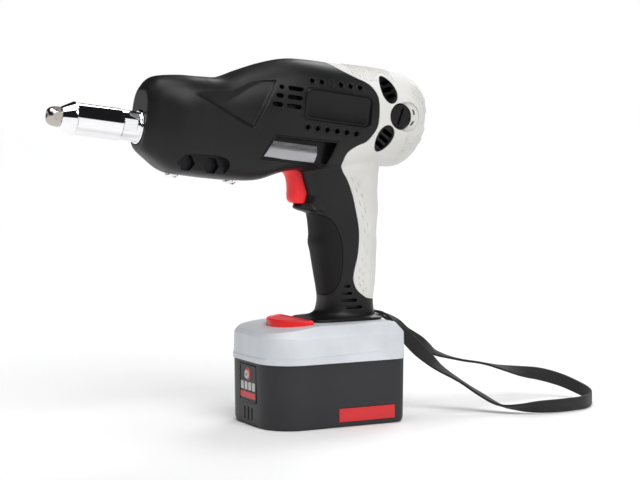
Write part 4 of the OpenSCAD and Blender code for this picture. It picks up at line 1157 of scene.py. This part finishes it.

# %% Dark sheets behind the head's vents: painted shade for the dark inside of the head
# a black sheet under the vent slots, set there as painted shade so that the vents read dark
SHADE_SHEET_PLAN = [(-54, 23.5), (-28.5, 23.5), (-28.5, 42.5), (-54, 42.5)]
SHADE_SHEET_DEEP, SHADE_SHEET_THICK = 5.5, 0.7
for side_name, side in SIDES:
    shade_sheet = slice_of_skin(side_name + "_dust_screen", SHADE_SHEET_PLAN, 12, SHADE_SHEET_DEEP, side)
    carve(shade_sheet, sunk_form("inner", SHADE_SHEET_DEEP + SHADE_SHEET_THICK, side))
    finish_piece(shade_sheet, "black_trim", "tool")

# %% Brush caps with a rim and a coin slot
CAP_PROFILE = ((25.1, 6.2), (28.4, 6.2), (28.4, 9.0), (28.6, 9.2), (30.3, 9.2), (30.55, 9.1), (30.7, 8.8), (30.7, 8.1),
               (30.55, 7.9), (30.35, 7.8))
COIN_LEAN, COIN_HALF, COIN_R, COIN_FLOOR = math.radians(104), 5.9, 1.1, 28.8


def draw_caps(bm):
    """The two turned caps."""
    for _, side in SIDES:
        add_turned(bm, [(side * y, r) for y, r in CAP_PROFILE], CAP_SPOT, count=72)


def draw_coin_slots(bm):
    """A leaning slot in the face of each cap."""
    ends = [(CAP_SPOT[0] - h * math.cos(COIN_LEAN), CAP_SPOT[1] + h * math.sin(COIN_LEAN))
            for h in (-COIN_HALF, COIN_HALF)]
    for _, side in SIDES:
        add_prism(bm, slot_plan(*ends, COIN_R, 4), side * COIN_FLOOR, side * OUTSIDE)


caps = drawn("brush_cap_pair", draw_caps)
carved(caps, "coin_slots", draw_coin_slots)
finish_piece(caps, "black_trim", "tool", "brush_caps")

# %% Selector: a black frame, and an arched silver slide that leaves a dark strip above it
FRAME_GAP, FRAME_RIM, FRAME_BACK, FRAME_FLOOR = 0.2, 1.3, 21.8, 22.8
SLIDE_GAP, SLIDE_BACK, SLIDE_END, SLIDE_TOP, SLIDE_SINK = 1.8, 23.2, -13.6, 1.6, 1.0
PILLOW_R, PILLOW_MID, SKIN_AT_SLIDE = 15.0, -4.4, 30.6

surround = slice_of_skin("selector_surround", inset_outline(SELECTOR_PLAN, FRAME_GAP), FRAME_BACK, 0, -1)
carved(surround, "opening", prism_of(inset_outline(SELECTOR_PLAN, FRAME_RIM), -OUTSIDE, -FRAME_FLOOR))
finish_piece(surround, "black_trim", "tool", "selector_frame")
# a long round bar: its outer side is the slide's arched face
pillow = disc((PILLOW_R + SLIDE_SINK - SKIN_AT_SLIDE, PILLOW_MID), PILLOW_R, 128)
slide_plan = clipped(clipped(inset_outline(SELECTOR_PLAN, SLIDE_GAP), 0, SLIDE_END), 1, SLIDE_TOP)
slide = slice_of_skin("selector_slide", slide_plan, SLIDE_BACK, 0.3, -1)
carved(slide, "pillow", loft_of(along_spindle(pillow, (-80, 20))), "INTERSECT")
finish_piece(slide, "silver_trim", "selector", "selector", crease=25)

# %% [markdown]
# ## Soft grip panels
# The panels are a second shot of softer plastic in shallow recesses. They fill the recess with a hairline round them
# and meet at the parting line.

# %% Grip panels
panel_plan = inset_outline(smooth_line(PANEL_EDGE), PANEL_GAP)
panels = copy_of(form, "panels")
carved(panels, "block", prism_of(panel_plan, -OUTSIDE, OUTSIDE, in_row), "INTERSECT")
carved(panels, "core", loft_of(grip_rings(PANEL_DEEP - 0.1, *FINE, first=PANEL_ROW)))
for side_name, side in SIDES:
    panel = copy_of(panels, side_name + "_grip_panel")
    carved(panel, "half", draw_half(side), "INTERSECT")
    finish_piece(panel, "grip_rubber", "tool", side_name + "_grip")
bpy.data.objects.remove(panels)

# %% [markdown]
# ## Ribs, collars and copies with Geometry Nodes
# A mould repeats small things: collars round holes, fine ribs, dashes. They are drawn here as flat guide lines beside
# the tool. A Geometry Nodes tree throws each line onto the skin and lays a fine round rib along it. A second tree sets
# copies of one piece on points. Both end in realised geometry with its material, so only plain meshes go on.


# %% A tree that lays ribs on the skin
def node_tree(name, sockets, out_name):
    """An empty geometry tree with named inputs and one geometry output."""
    tree = bpy.data.node_groups.new(name, "GeometryNodeTree")
    for label, kind in sockets:
        tree.interface.new_socket(label, in_out="INPUT", socket_type="NodeSocket" + kind)
    tree.interface.new_socket(out_name, in_out="OUTPUT", socket_type="NodeSocketGeometry")
    return tree, tree.nodes.new("NodeGroupInput").outputs, tree.nodes.new("NodeGroupOutput").inputs


def make_rib_tree():
    """Lines are resampled, thrown onto the skin by a ray, and thickened with a round profile."""
    tree, given, out = node_tree("ribs_on_skin", (
        ("Lines", "Geometry"), ("Skin", "Object"), ("Aim", "Vector"), ("Step", "Float"), ("Radius", "Float"),
        ("Finish", "Material")), "Ribs")
    new, link = tree.nodes.new, tree.links.new
    curve, even = new("GeometryNodeMeshToCurve"), new("GeometryNodeResampleCurve")
    even.mode = "LENGTH"
    skin, ray, drop = new("GeometryNodeObjectInfo"), new("GeometryNodeRaycast"), new("GeometryNodeSetPosition")
    ring, tube = new("GeometryNodeCurvePrimitiveCircle"), new("GeometryNodeCurveToMesh")
    real, paint = new("GeometryNodeRealizeInstances"), new("GeometryNodeSetMaterial")
    ring.inputs["Resolution"].default_value = 8
    ray.inputs["Ray Length"].default_value = 0.3
    tube.inputs["Fill Caps"].default_value = True
    link(given["Lines"], curve.inputs["Mesh"])
    link(curve.outputs["Curve"], even.inputs["Curve"])
    link(given["Step"], even.inputs["Length"])
    link(given["Skin"], skin.inputs["Object"])
    link(skin.outputs["Geometry"], ray.inputs["Target Geometry"])
    link(given["Aim"], ray.inputs["Ray Direction"])
    link(even.outputs["Curve"], drop.inputs["Geometry"])
    link(ray.outputs["Hit Position"], drop.inputs["Position"])
    link(ray.outputs["Is Hit"], drop.inputs["Selection"])
    link(given["Radius"], ring.inputs["Radius"])
    link(drop.outputs["Geometry"], tube.inputs["Curve"])
    link(ring.outputs["Curve"], tube.inputs["Profile Curve"])
    link(tube.outputs["Mesh"], real.inputs["Geometry"])
    link(real.outputs["Geometry"], paint.inputs["Geometry"])
    link(given["Finish"], paint.inputs["Material"])
    link(paint.outputs["Geometry"], out["Ribs"])
    return tree


RIB_TREE = make_rib_tree()
print("geometry tree:", RIB_TREE.name)


# %% A tree that sets copies on points
def make_copy_tree():
    """One piece is set on every point, and the copies become plain geometry."""
    tree, given, out = node_tree("copies_on_points", (
        ("Points", "Geometry"), ("Copy", "Object"), ("Finish", "Material")), "Copies")
    new, link = tree.nodes.new, tree.links.new
    thing, place = new("GeometryNodeObjectInfo"), new("GeometryNodeInstanceOnPoints")
    real, paint = new("GeometryNodeRealizeInstances"), new("GeometryNodeSetMaterial")
    link(given["Points"], place.inputs["Points"])
    link(given["Copy"], thing.inputs["Object"])
    link(thing.outputs["Geometry"], place.inputs["Instance"])
    link(place.outputs["Instances"], real.inputs["Geometry"])
    link(real.outputs["Geometry"], paint.inputs["Geometry"])
    link(given["Finish"], paint.inputs["Material"])
    link(paint.outputs["Geometry"], out["Copies"])
    return tree


COPY_TREE = make_copy_tree()
print("geometry tree:", COPY_TREE.name)


# %% Guide lines, and running a tree
def run_tree(piece, tree, **values):
    """Runs a geometry tree on a piece, with its inputs set by name, and keeps the plain mesh."""
    step = piece.modifiers.new(tree.name, "NODES")
    step.node_group = tree
    for item in tree.interface.items_tree:
        if item.in_out == "INPUT" and item.name in values:
            step[item.identifier] = values[item.name]
    settle(piece)


def guide(name, lines):
    """A mesh of edges through points (mm); a line is closed when its second entry says so."""
    mesh = bpy.data.meshes.new(name)
    points, edges = [], []
    for line, closed in lines:
        first = len(points)
        points += [Vector(p) * MM for p in line]
        edges += [(first + k, first + k + 1) for k in range(len(line) - 1)]
        if closed:
            edges.append((len(points) - 1, first))
    mesh.from_pydata(points, edges, [])
    made = bpy.data.objects.new(name, mesh)
    scene.collection.objects.link(made)
    return made


def lay_ribs(name, lines, slot, aim, step, radius):
    """Ribs along guide lines, thrown onto the form."""
    ribs = guide(name, lines)
    run_tree(ribs, RIB_TREE, Skin=form, Aim=aim, Step=step * MM, Radius=radius * MM, Finish=FINISH[slot])
    finish_piece(ribs, slot, "tool", crease=60)


print("guide lines and ribs")

# %% Collars round the dimples and a rim round the label
COLLAR_GAP, RIM_GAP = 0.8, 0.7


def collar_lines(side):
    """Guide lines for one side of the black shell."""
    outlines = [disc(spot, DIMPLE_R + COLLAR_GAP, 28) for spot in UPPER_DIMPLES + LOWER_DIMPLES]
    if side == LABEL_SIDE:
        outlines.append(label_plan(-RIM_GAP))
    return [([in_head(a, side * OUTSIDE, b) for a, b in outline], True) for outline in outlines]


for side_name, side in SIDES:
    lay_ribs(side_name + "_collars", collar_lines(side), "black_plastic", (0.0, -side, 0.0), 0.7, 0.45)

# %% Ribs on the pale covers: hoops over the top, arcs round the cap, dashes down the grip's back
HOOPS = np.arange(13, 47, 1.9)
ARC_RADII = (15.5, 18.5, 21.5, 24.5)
ARC_SPANS = ((15, 78), (-85, -10))
DASH_LINES = ((0, 5.0), (1, 8.2))
RIB_CLEAR, RIB_REAR = 2.2, 76
HOOP_LOW, HOOP_HALF, HOOP_LIFT = 47, 25.5, 30
DASH_LOW, DASH_HIGH = 92, 176


def clear_of_edges(point):
    """Whether a row-frame point, seen from the side, lies well inside the pale cover and off its fittings."""
    own = head_axes(np.array([point]))[:, [0, 2]]
    off_inserts = all(inside_depth(own, grille_plan(grille))[0] < -RIB_CLEAR for grille in GRILLES)
    off_cap = math.dist(own[0], CAP_POCKET) > CAP_POCKET_R + RIB_CLEAR
    inside = inside_depth(np.array([(point[0], point[2])]), seam_outline(0))[0] > RIB_CLEAR
    return inside and off_inserts and off_cap and own[0, 0] < RIB_REAR


def hoop_lines(side):
    """Lines across the top, cut off where they would leave the pale cover."""
    lines = []
    rows = between(HEAD_ROWS, 24)
    for back in HOOPS:
        row = min(rows, key=lambda r: abs(r[0] - back))
        ring = head_ring(row, 0, 160)
        half = [p for p in ring if 0.3 < p[1] < HOOP_HALF and head_axes(np.array([p]))[0, 2] > HOOP_LOW]
        kept = [p for p in half if clear_of_edges(p)]
        if len(kept) > 3:
            kept.sort(key=lambda p: p[1])
            lines.append(([(p[0], side * p[1], p[2] + HOOP_LIFT) for p in kept], False))
    return lines


def arc_lines(side):
    """Arcs round the cap pocket, and dashes beside the seam on the grip's back, drawn beside the tool."""
    lines = []
    for radius in ARC_RADII:
        for first, last in ARC_SPANS:
            turns = np.radians(np.linspace(first, last, 24))
            arc = [in_head(CAP_POCKET[0] + radius * math.cos(a), side * OUTSIDE, CAP_POCKET[1] + radius * math.sin(a))
                   for a in turns]
            arc = [p for p in arc if clear_of_edges(p)]
            if len(arc) > 4:
                lines.append((arc, False))
    seam = [p for p in smooth_line(COVER_EDGE, 8) if DASH_LOW < p[1] < DASH_HIGH]
    for index, away in DASH_LINES:
        for k in range(index * 3, len(seam) - 3, 6):
            dash = [(p[0] + away, p[1]) for p in seam[k:k + 3]]
            lines.append(([(x, side * OUTSIDE, z) for x, z in dash], False))
    return lines


for side_name, side in SIDES:
    lay_ribs(side_name + "_top_ribs", hoop_lines(side), "pale_rubber", (0.0, 0.0, -1.0), 0.8, 0.55)
    lay_ribs(side_name + "_side_ribs", arc_lines(side), "pale_rubber", (0.0, -side, 0.0), 0.8, 0.65)

# %% Housing screws: one screw, set on five points
SCREW_SEAT, SCREW_TIP = 12.1, -13.5


def draw_screw(bm):
    """A pan head, a plain neck and a shank with thread rings, along the tool's width."""
    thread = []
    y = -2.0
    while y > SCREW_TIP + 1.6:
        thread += [(y, 1.5), (y - 0.35, 1.22), (y - 0.7, 1.5)]
        y -= 0.9
    profile = [(SCREW_SEAT + 2.6, 2.2), (SCREW_SEAT + 2.35, 2.9), (SCREW_SEAT + 1.8, 3.2), (SCREW_SEAT, 3.2),
               (SCREW_SEAT, 1.5), *thread, (SCREW_TIP + 1.2, 1.4), (SCREW_TIP, 0.7)]
    add_turned(bm, profile, (0, 0), in_row, 32)


def draw_cross(bm):
    """Two crossed slots in the head."""
    for lean in (0.6, 0.6 + math.pi / 2):
        ends = [(h * math.cos(lean), h * math.sin(lean)) for h in (-1.5, 1.5)]
        add_prism(bm, slot_plan(*ends, 0.42, 4), SCREW_SEAT + 1.0, SCREW_SEAT + 4, in_row)


one_screw = drawn("one_screw", draw_screw)
carved(one_screw, "cross", draw_cross)
spots = [in_head(a, 0, b) for a, b in [*HEAD_POSTS, REAR_POST]] + [in_row(a, 0, b) for a, b in (GRIP_POST, COVER_POST)]
screws = guide("housing_screws", [([spot], False) for spot in spots])
run_tree(screws, COPY_TREE, Copy=one_screw, Finish=FINISH["bright_steel"])
bpy.data.objects.remove(one_screw)
finish_piece(screws, "bright_steel", "tool", "shell_screws")

# %% [markdown]
# ## The nose
# A lathe turned the real sleeve, so a profile is turned here: a tapered front, a long polished barrel, and two
# flats for a spanner. The nosepiece is an acorn with six flats, and its bore is a little wider than a rivet's pin.

# %% Sleeve, lock ring and nosepiece
SLEEVE_FRONT = -193.0
SLEEVE = [(0, 5.03), (0, 6.6), (0.25, 6.95), (0.7, 7.3), (8.5, 11.45), (8.8, 11.55), (9.2, 11.5), (9.7, 11.05),
          (10, 11), (41.3, 11), (41.6, 10.9), (42, 10.55), (42.2, 10.5), (53.3, 10.5), (53.3, 10), (72, 10),
          (72, 9), (9, 9), (9, 5.03)]
LOCK_RING = [(-138.4, 10.03), (-138.4, 11), (-138.1, 11.4), (-137.7, 11.6), (-134.5, 11.6), (-134.1, 11.5),
             (-133.8, 11.2), (-133.8, 10.03)]
ACORN = smooth_line([(-9, 3.2), (-8.5, 4.6), (-7, 5.75), (-4.8, 6.5), (-0.8, 6.8)], 5)
NOSE = [(-9, 1.7), *ACORN, (0, 6.2), (0, 5), (8.8, 5), (8.8, 4.6), (12.4, 3.4), (12.4, 1.7)]


FLATS_FROM, FLATS_TO, FLATS_HALF = 42.6, 52, 9.5
HEXAGON_R, HEXAGON_ENDS = 6.9, (-12, 14)


def turned_piece(name, profile, front=0.0):
    """A piece turned about the spindle, its profile measured from its front."""
    return drawn(name, lambda bm: add_lathe(bm, [(front + a, r) for a, r in profile]))


def draw_flats(bm):
    """Two blocks that leave flats for a spanner."""
    low, high = SLEEVE_FRONT + FLATS_FROM, SLEEVE_FRONT + FLATS_TO
    for _, side in SIDES:
        add_prism(bm, [(low, -20), (high, -20), (high, 20), (low, 20)], side * FLATS_HALF, side * OUTSIDE)


sleeve = turned_piece("nose_sleeve", SLEEVE, SLEEVE_FRONT)
carved(sleeve, "flats", draw_flats)
finish_piece(sleeve, "chrome", "tool", "sleeve", crease=16)
finish_piece(turned_piece("sleeve_lock_ring", LOCK_RING), "chrome", "tool", "lock_ring", crease=16)
nose = turned_piece("rivet_nosepiece", NOSE, SLEEVE_FRONT)
hexagon = along_spindle(disc((0, 0), HEXAGON_R, 6, math.pi / 6), [SLEEVE_FRONT + u for u in HEXAGON_ENDS])
carved(nose, "hexagon", loft_of(hexagon), "INTERSECT")
finish_piece(nose, "bright_steel", "tool", "nosepiece", crease=22)

# %% [markdown]
# ## The trigger
# The trigger is a red moulding with a hollow for the finger and well rounded edges. It goes up into the head behind
# the cheeks, so no gap shows at rest or when it is pressed, and a stem behind it works the switch.

# %% Trigger
TRIGGER_FRONT = [(-28.4, 181.9), (-25.5, 179.6), (-23.4, 176.9), (-22.1, 172.7), (-21.6, 167.2), (-21.7, 161.8),
                 (-20.9, 158.9), (-18.8, 157.3), (-15.7, 157)]
TRIGGER_HALF, TRIGGER_ROUND, TRIGGER_POWER = 7.5, 5.2, 2.4
TRIGGER_BACK = [(-2, 157), (-2, 181.9)]
STEM_HEIGHT, STEM_R, STEM_ENDS = 164, 2.5, (-4, 7.5)


def draw_trigger(bm):
    """Slices across the trigger, each with its front moved back so that the face is round."""
    front, slices = smooth_line(TRIGGER_FRONT, 6), []
    for y in TRIGGER_HALF * np.sin(np.linspace(-math.pi / 2, math.pi / 2, 41)):
        back = TRIGGER_ROUND * (1 - math.sqrt(max(1 - (abs(y) / TRIGGER_HALF) ** TRIGGER_POWER, 0)))
        slices.append([in_row(x + back, y, z) for x, z in front] + [in_row(x, y, z) for x, z in TRIGGER_BACK])
    add_loft(bm, slices)


trigger = drawn("finger_trigger", draw_trigger)
carved(trigger, "stem", loft_of(along_tool(disc((0, STEM_HEIGHT), STEM_R, 32), STEM_ENDS)), "UNION")
finish_piece(trigger, "red_plastic", "trigger", "trigger", crease=50)

# %% [markdown]
# ## The battery pack
# The pack is a dark case with a pale cover pressed onto it. Its size comes from the round cells inside. The cover has
# a chamfer round its top, a top that falls away to the front, and a band along its lower edge that runs out in a slant
# near the rear. Rings of a rounded rectangle make both, and the openings are cut as in the solid.

# %% Case
PACK_HALF, PACK_WIDE, FRONT_CORNER, REAR_CORNER = 54.0, 41.0, 24.4, 9
# inset and height of each ring, outside and inside
CASE_RINGS = ((3.4, 0), (2.3, 0.2), (1.5, 0.8), (0.9, 2), (0.5, 4), (0, 46))
CASE_INSIDE = ((3.4, 2.5), (2.6, 5), (2.5, 47))
BUTTON_MID, BUTTON_BORE = (0.5, 36.5), 3.5


def pack_ring(inset, z, count=14):
    """A ring round the pack, with wide front corners and tight rear ones."""
    plan = plan_points(inset - PACK_HALF, PACK_HALF - inset, PACK_WIDE - inset, FRONT_CORNER - inset,
                       max(REAR_CORNER - inset, 1), count)
    return [(x, y, z) for x, y in plan]


def pack_loft(rings):
    """A function that draws a loft of pack rings."""
    return loft_of([pack_ring(*ring) for ring in rings])


def draw_case_cuts(bm):
    """Gauge recess, three slots under it and the recesses of the red bands."""
    add_box(bm, (-56, -14, 16.8), (-52.8, 13.6, 43.9))
    for y in (5.4, -0.4, -6.2):
        add_box(bm, (-56, y - 1, 4.4), (-52.6, y + 1, 13.2))
    for y in (-41.8, 40.2):
        add_box(bm, (-2.2, y, 3.8), (43.2, y + 1.6, 13.7))


case = drawn("case_shell", pack_loft(CASE_RINGS))
carved(case, "case_inside", pack_loft(CASE_INSIDE))
carved(case, "case_cuts", draw_case_cuts)
carved(case, "case_bore", loft_of(along_tool(disc(BUTTON_MID, BUTTON_BORE, 32), (-54, -49))))
finish_piece(case, "pack_grey", "pack", "pack_case", crease=14)

# %% Cover
COVER_LEVELS = ((-0.5, 46.15), (-0.35, 52), (0, 64.4), (0.3, 65.2), (0.9, 66.1), (5.4, 70.9), (6.3, 71.7), (7.4, 72.2),
                (9, 72.4))
COVER_INSIDE = ((2.6, 45), (2.8, 56), (5, 60))
BAND_RINGS = ((-0.95, 46.15), (-0.9, 53.5))
BAND_LINE = [(-60, 49.6), (-47, 49.9), (-22, 50.6), (8, 51.8), (31.6, 52.6), (33, 52.4), (42.5, 46.9), (46, 46.1)]
ABOVE_BAND = [*BAND_LINE, (70, 46.1), (70, 60), (-60, 60)]
COVER_TOP, SLOPE_FROM, SLOPE_TO, SLOPE = 72.4, -12.0, -92, math.tan(math.radians(6.5))
SLOPE_CUT = [(SLOPE_FROM, COVER_TOP), (SLOPE_TO, COVER_TOP + (SLOPE_TO - SLOPE_FROM) * SLOPE), (SLOPE_TO, 90),
             (SLOPE_FROM, 90)]
LATCH_PLAN = [(-14, -24), (-14, 0), (-14, 24), (-18, 25), (-22, 24), (-29.5, 17.5), (-34, 10), (-36, 0), (-34, -10),
              (-29.5, -17.5), (-22, -24), (-18, -25)]
LATCH_ROOM, SPRING_MID, SPRING_WELL_R = 0.4, (-25, 0), 4.4

band = drawn("band", pack_loft(BAND_RINGS))
carved(band, "above_band", prism_of(ABOVE_BAND, -OUTSIDE, OUTSIDE, in_row))
cover = drawn("cover_shell", pack_loft(COVER_LEVELS))
carve(cover, band, "UNION")
cover_cuts = {
    "cover_inside": pack_loft(COVER_INSIDE),
    "slope": prism_of(SLOPE_CUT, -OUTSIDE, OUTSIDE, in_row),
    "latch_well": loft_of(upright(inset_points(closed_line(LATCH_PLAN, 5), -LATCH_ROOM), (65, 80))),
    "spring_well": loft_of(upright(disc(SPRING_MID, SPRING_WELL_R, 32), (61.6, 70))),
    "rail_slot": lambda bm: add_box(bm, (-6.4, -13.4, 68.7), (94, 13.4, 80)),
    "rail_flange": lambda bm: add_box(bm, (-6.4, -18.4, 65.3), (94, 18.4, 69.8)),
    "contacts": draw_contacts(64.4, 67.4),
}
for name, draw in cover_cuts.items():
    carved(cover, name, draw)
finish_piece(cover, "pack_pale", "pack", "pack_cover", crease=14)

# %% Latch with bevelled edges and a dished top
# inset and height of each ring
LATCH_LEVELS = ((0, 68.2), (0, 74), (0.3, 74.6), (0.8, 75), (1.8, 75), (2.3, 74.6))
SKIRT, LATCH_STEM_R = 2.2, 2
latch_plan = closed_line(LATCH_PLAN, 6)
latch_rings = [[(x, y, z) for x, y in inset_points(latch_plan, inset)] for inset, z in LATCH_LEVELS]
latch = drawn("push_latch", loft_of(latch_rings))
carved(latch, "skirt_room", loft_of(upright(inset_points(latch_plan, SKIRT), (67, 70.8))))
carved(latch, "latch_stem", loft_of(upright(disc(SPRING_MID, LATCH_STEM_R, 32), (65.6, 72))), "UNION")
finish_piece(latch, "red_plastic", "latch", "pack_latch", crease=28)


def draw_coil(bm):
    """The solid's loose triangles, merged."""
    bm.from_mesh(frame["nodes"]["latch_spring"].data)
    bmesh.ops.remove_doubles(bm, verts=bm.verts, dist=0.001 * MM)


coil = drawn("latch_coil", draw_coil)
finish_piece(coil, "bright_steel", "pack", "latch_spring")
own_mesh(coil)


# %% Gauge: panel with a border, four bars, a red strip, and a white button with a red dot
def front_plan(low, high, corner):
    """A rounded rectangle on the front of the pack, as a function of its inset."""
    middle = (low[1] + high[1]) / 2
    return lambda inset: [(y, middle + z) for y, z in plan_points(
        low[0] + inset, high[0] - inset, (high[1] - low[1]) / 2 - inset, corner, corner, 5)]


def ring_plan(middle, radius):
    """A circle on the front of the pack, as a function of its inset."""
    return lambda inset: disc(middle, radius - inset, 40)


def plates_of(outlines, levels):
    """A function that draws plates with the same levels: a distance along the tool and an inset for each."""
    def draw(bm):
        """Draws one plate for each outline."""
        for outline in outlines:
            add_loft(bm, [[(x, y, z) for y, z in outline(inset)] for x, inset in levels])
    return draw


PANEL_LEVELS = ((-52.9, 0), (-53.9, 0), (-54.1, 0.25))
SUNK_LEVELS, HOLE_LEVELS = ((-56, 0), (-53.75, 0)), ((-56, 0), (-50, 0))
BAR_LEVELS = ((-53.6, 0), (-53.95, 0), (-54.05, 0.2))
BUTTON_LEVELS = ((-50.65, -1), (-51.4, -1), (-51.45, 0), (-54.5, 0), (-54.8, 0.25), (-54.9, 0.6))
BUTTON_HOLE_R, BAR_STEP, RING_MID = 3.6, 6.05, (BUTTON_MID[0] - 0.7, BUTTON_MID[1] + 0.4)
button_hole = plates_of([ring_plan(BUTTON_MID, BUTTON_HOLE_R)], HOLE_LEVELS)
bars = [front_plan((-11.7 + BAR_STEP * i, 25.4), (-7.1 + BAR_STEP * i, 31.2), 0.5) for i in range(4)]
panel = drawn("gauge_face", plates_of([front_plan((-13.8, 17), (13.4, 43.7), 1.2)], PANEL_LEVELS))
carved(panel, "panel_sunk", plates_of([front_plan((-12.9, 17.9), (12.5, 42.8), 0.8)], SUNK_LEVELS))
carved(panel, "panel_hole", button_hole)
finish_piece(panel, "black_trim", "pack", "gauge_panel")
finish_piece(drawn("gauge_bar_row", plates_of(bars, BAR_LEVELS)), "gauge_pale", "pack", "gauge_bars")
strip = drawn("gauge_strip", plates_of([front_plan((-12.3, 19.6), (11.9, 24), 0.4)], ((-53.6, 0), (-53.9, 0))))
finish_piece(strip, "band_red", "pack")
button_ring = drawn("gauge_button_ring", plates_of([ring_plan(RING_MID, 4.7)], ((-53.6, 0), (-53.92, 0))))
carved(button_ring, "ring_hole", button_hole)
finish_piece(button_ring, "band_red", "pack")
button = drawn("gauge_push_button", plates_of([ring_plan(BUTTON_MID, 3.2)], BUTTON_LEVELS))
finish_piece(button, "gauge_pale", "gauge_button", "gauge_button")
dot = drawn("gauge_button_dot", plates_of([ring_plan(BUTTON_MID, 1.15)], ((-54.6, 0), (-54.95, 0), (-55, 0.15))))
finish_piece(dot, "band_red", "gauge_button")


# %% Plain red bands low on both sides of the case
def draw_bands(bm):
    """A thin plate on each side of the case."""
    for near, far in ((-40.85, -40.25), (40.25, 40.85)):
        add_box(bm, (-2, near, 4), (43, far, 13.5))


finish_piece(drawn("side_bands", draw_bands), "band_red", "pack", "pack_band")

# %% [markdown]
# ## Floor, light and picture settings
# The photograph is high-key: a white floor that runs into a white background, with soft shadows. The room above is
# dark, which gives the polished nose its black upper half over a white lower one. Wide suns light the floor evenly to
# the horizon, so no edge of a backdrop shows from any side. They stand where the nose doesn't mirror them.

# %% Floor
FLOOR_RADIUS = 60  # metres
floor_bm = bmesh.new()
bmesh.ops.create_circle(floor_bm, cap_ends=True, segments=64, radius=FLOOR_RADIUS)
floor = piece_of("floor", floor_bm)
floor_paint, floor_tree, floor_shader, floor_where = blank_material("studio_floor")
floor_cloud = place_group(floor_tree, GRAIN, Where=floor_where, Grains=400.0, Clouds=1.5)
floor_tree.links.new(tinted(floor_tree, floor_cloud.outputs["Tone"], (0.965, 0.965, 0.965), (0.975, 0.975, 0.975)),
                     floor_shader.inputs["Base Color"])
floor_shader.inputs["Roughness"].default_value = 0.6
floor_shader.inputs["Specular IOR Level"].default_value = 0.2
floor.data.materials.append(floor_paint)
print("floor, radius", FLOOR_RADIUS, "m")

# %% World and lamps
# heights at which the white horizon ends and the dark room begins
HORIZON, WHITE, DARK_ROOM = (0.1, 0.15), (1, 1, 1, 1), (0.012, 0.012, 0.014, 1)
world = bpy.data.worlds.new("studio")
scene.world = world
world.use_nodes = True
sky = world.node_tree
direction = sky.nodes.new("ShaderNodeTexCoord")
height = sky.nodes.new("ShaderNodeSeparateXYZ")
dome = sky.nodes.new("ShaderNodeValToRGB")
sky.links.new(direction.outputs["Generated"], height.inputs[0])
sky.links.new(height.outputs["Z"], dome.inputs[0])
sky.links.new(dome.outputs[0], sky.nodes["Background"].inputs["Color"])
dome.color_ramp.elements[0].position, dome.color_ramp.elements[1].position = HORIZON
for stop, colour in zip(dome.color_ramp.elements, (WHITE, DARK_ROOM)):
    stop.color = colour
# the camera sees plain white in every direction
path = sky.nodes.new("ShaderNodeLightPath")
backdrop = sky.nodes.new("ShaderNodeBackground")
backdrop.inputs["Color"].default_value = WHITE
seen = sky.nodes.new("ShaderNodeMixShader")
sky.links.new(path.outputs["Is Camera Ray"], seen.inputs[0])
sky.links.new(sky.nodes["Background"].outputs[0], seen.inputs[1])
sky.links.new(backdrop.outputs[0], seen.inputs[2])
sky.links.new(seen.outputs[0], sky.nodes["World Output"].inputs["Surface"])


def sun(name, strength, azimuth, elevation, spread):
    """A soft sun that shines from an azimuth (0 is from the camera side, 90 from the rear of the tool)."""
    data = bpy.data.lights.new(name, "SUN")
    data.energy, data.angle = strength, math.radians(spread)
    lamp = bpy.data.objects.new(name, data)
    a, e = math.radians(azimuth), math.radians(elevation)
    toward = Vector((math.sin(a) * math.cos(e), -math.cos(a) * math.cos(e), math.sin(e)))
    lamp.rotation_euler = toward.to_track_quat("Z", "Y").to_euler()
    scene.collection.objects.link(lamp)


sun("key", 0.95, 130, 32, 30)
sun("front", 1.75, 0, 44, 40)
sun("top", 1.75, -90, 78, 50)
scene.view_settings.view_transform = "Standard"
print("world and three suns")

# %% [markdown]
# ## The last step
# The last cell removes the melted form, from which the housing and its fittings were cut.

# %% Remove the form
bpy.data.objects.remove(form)
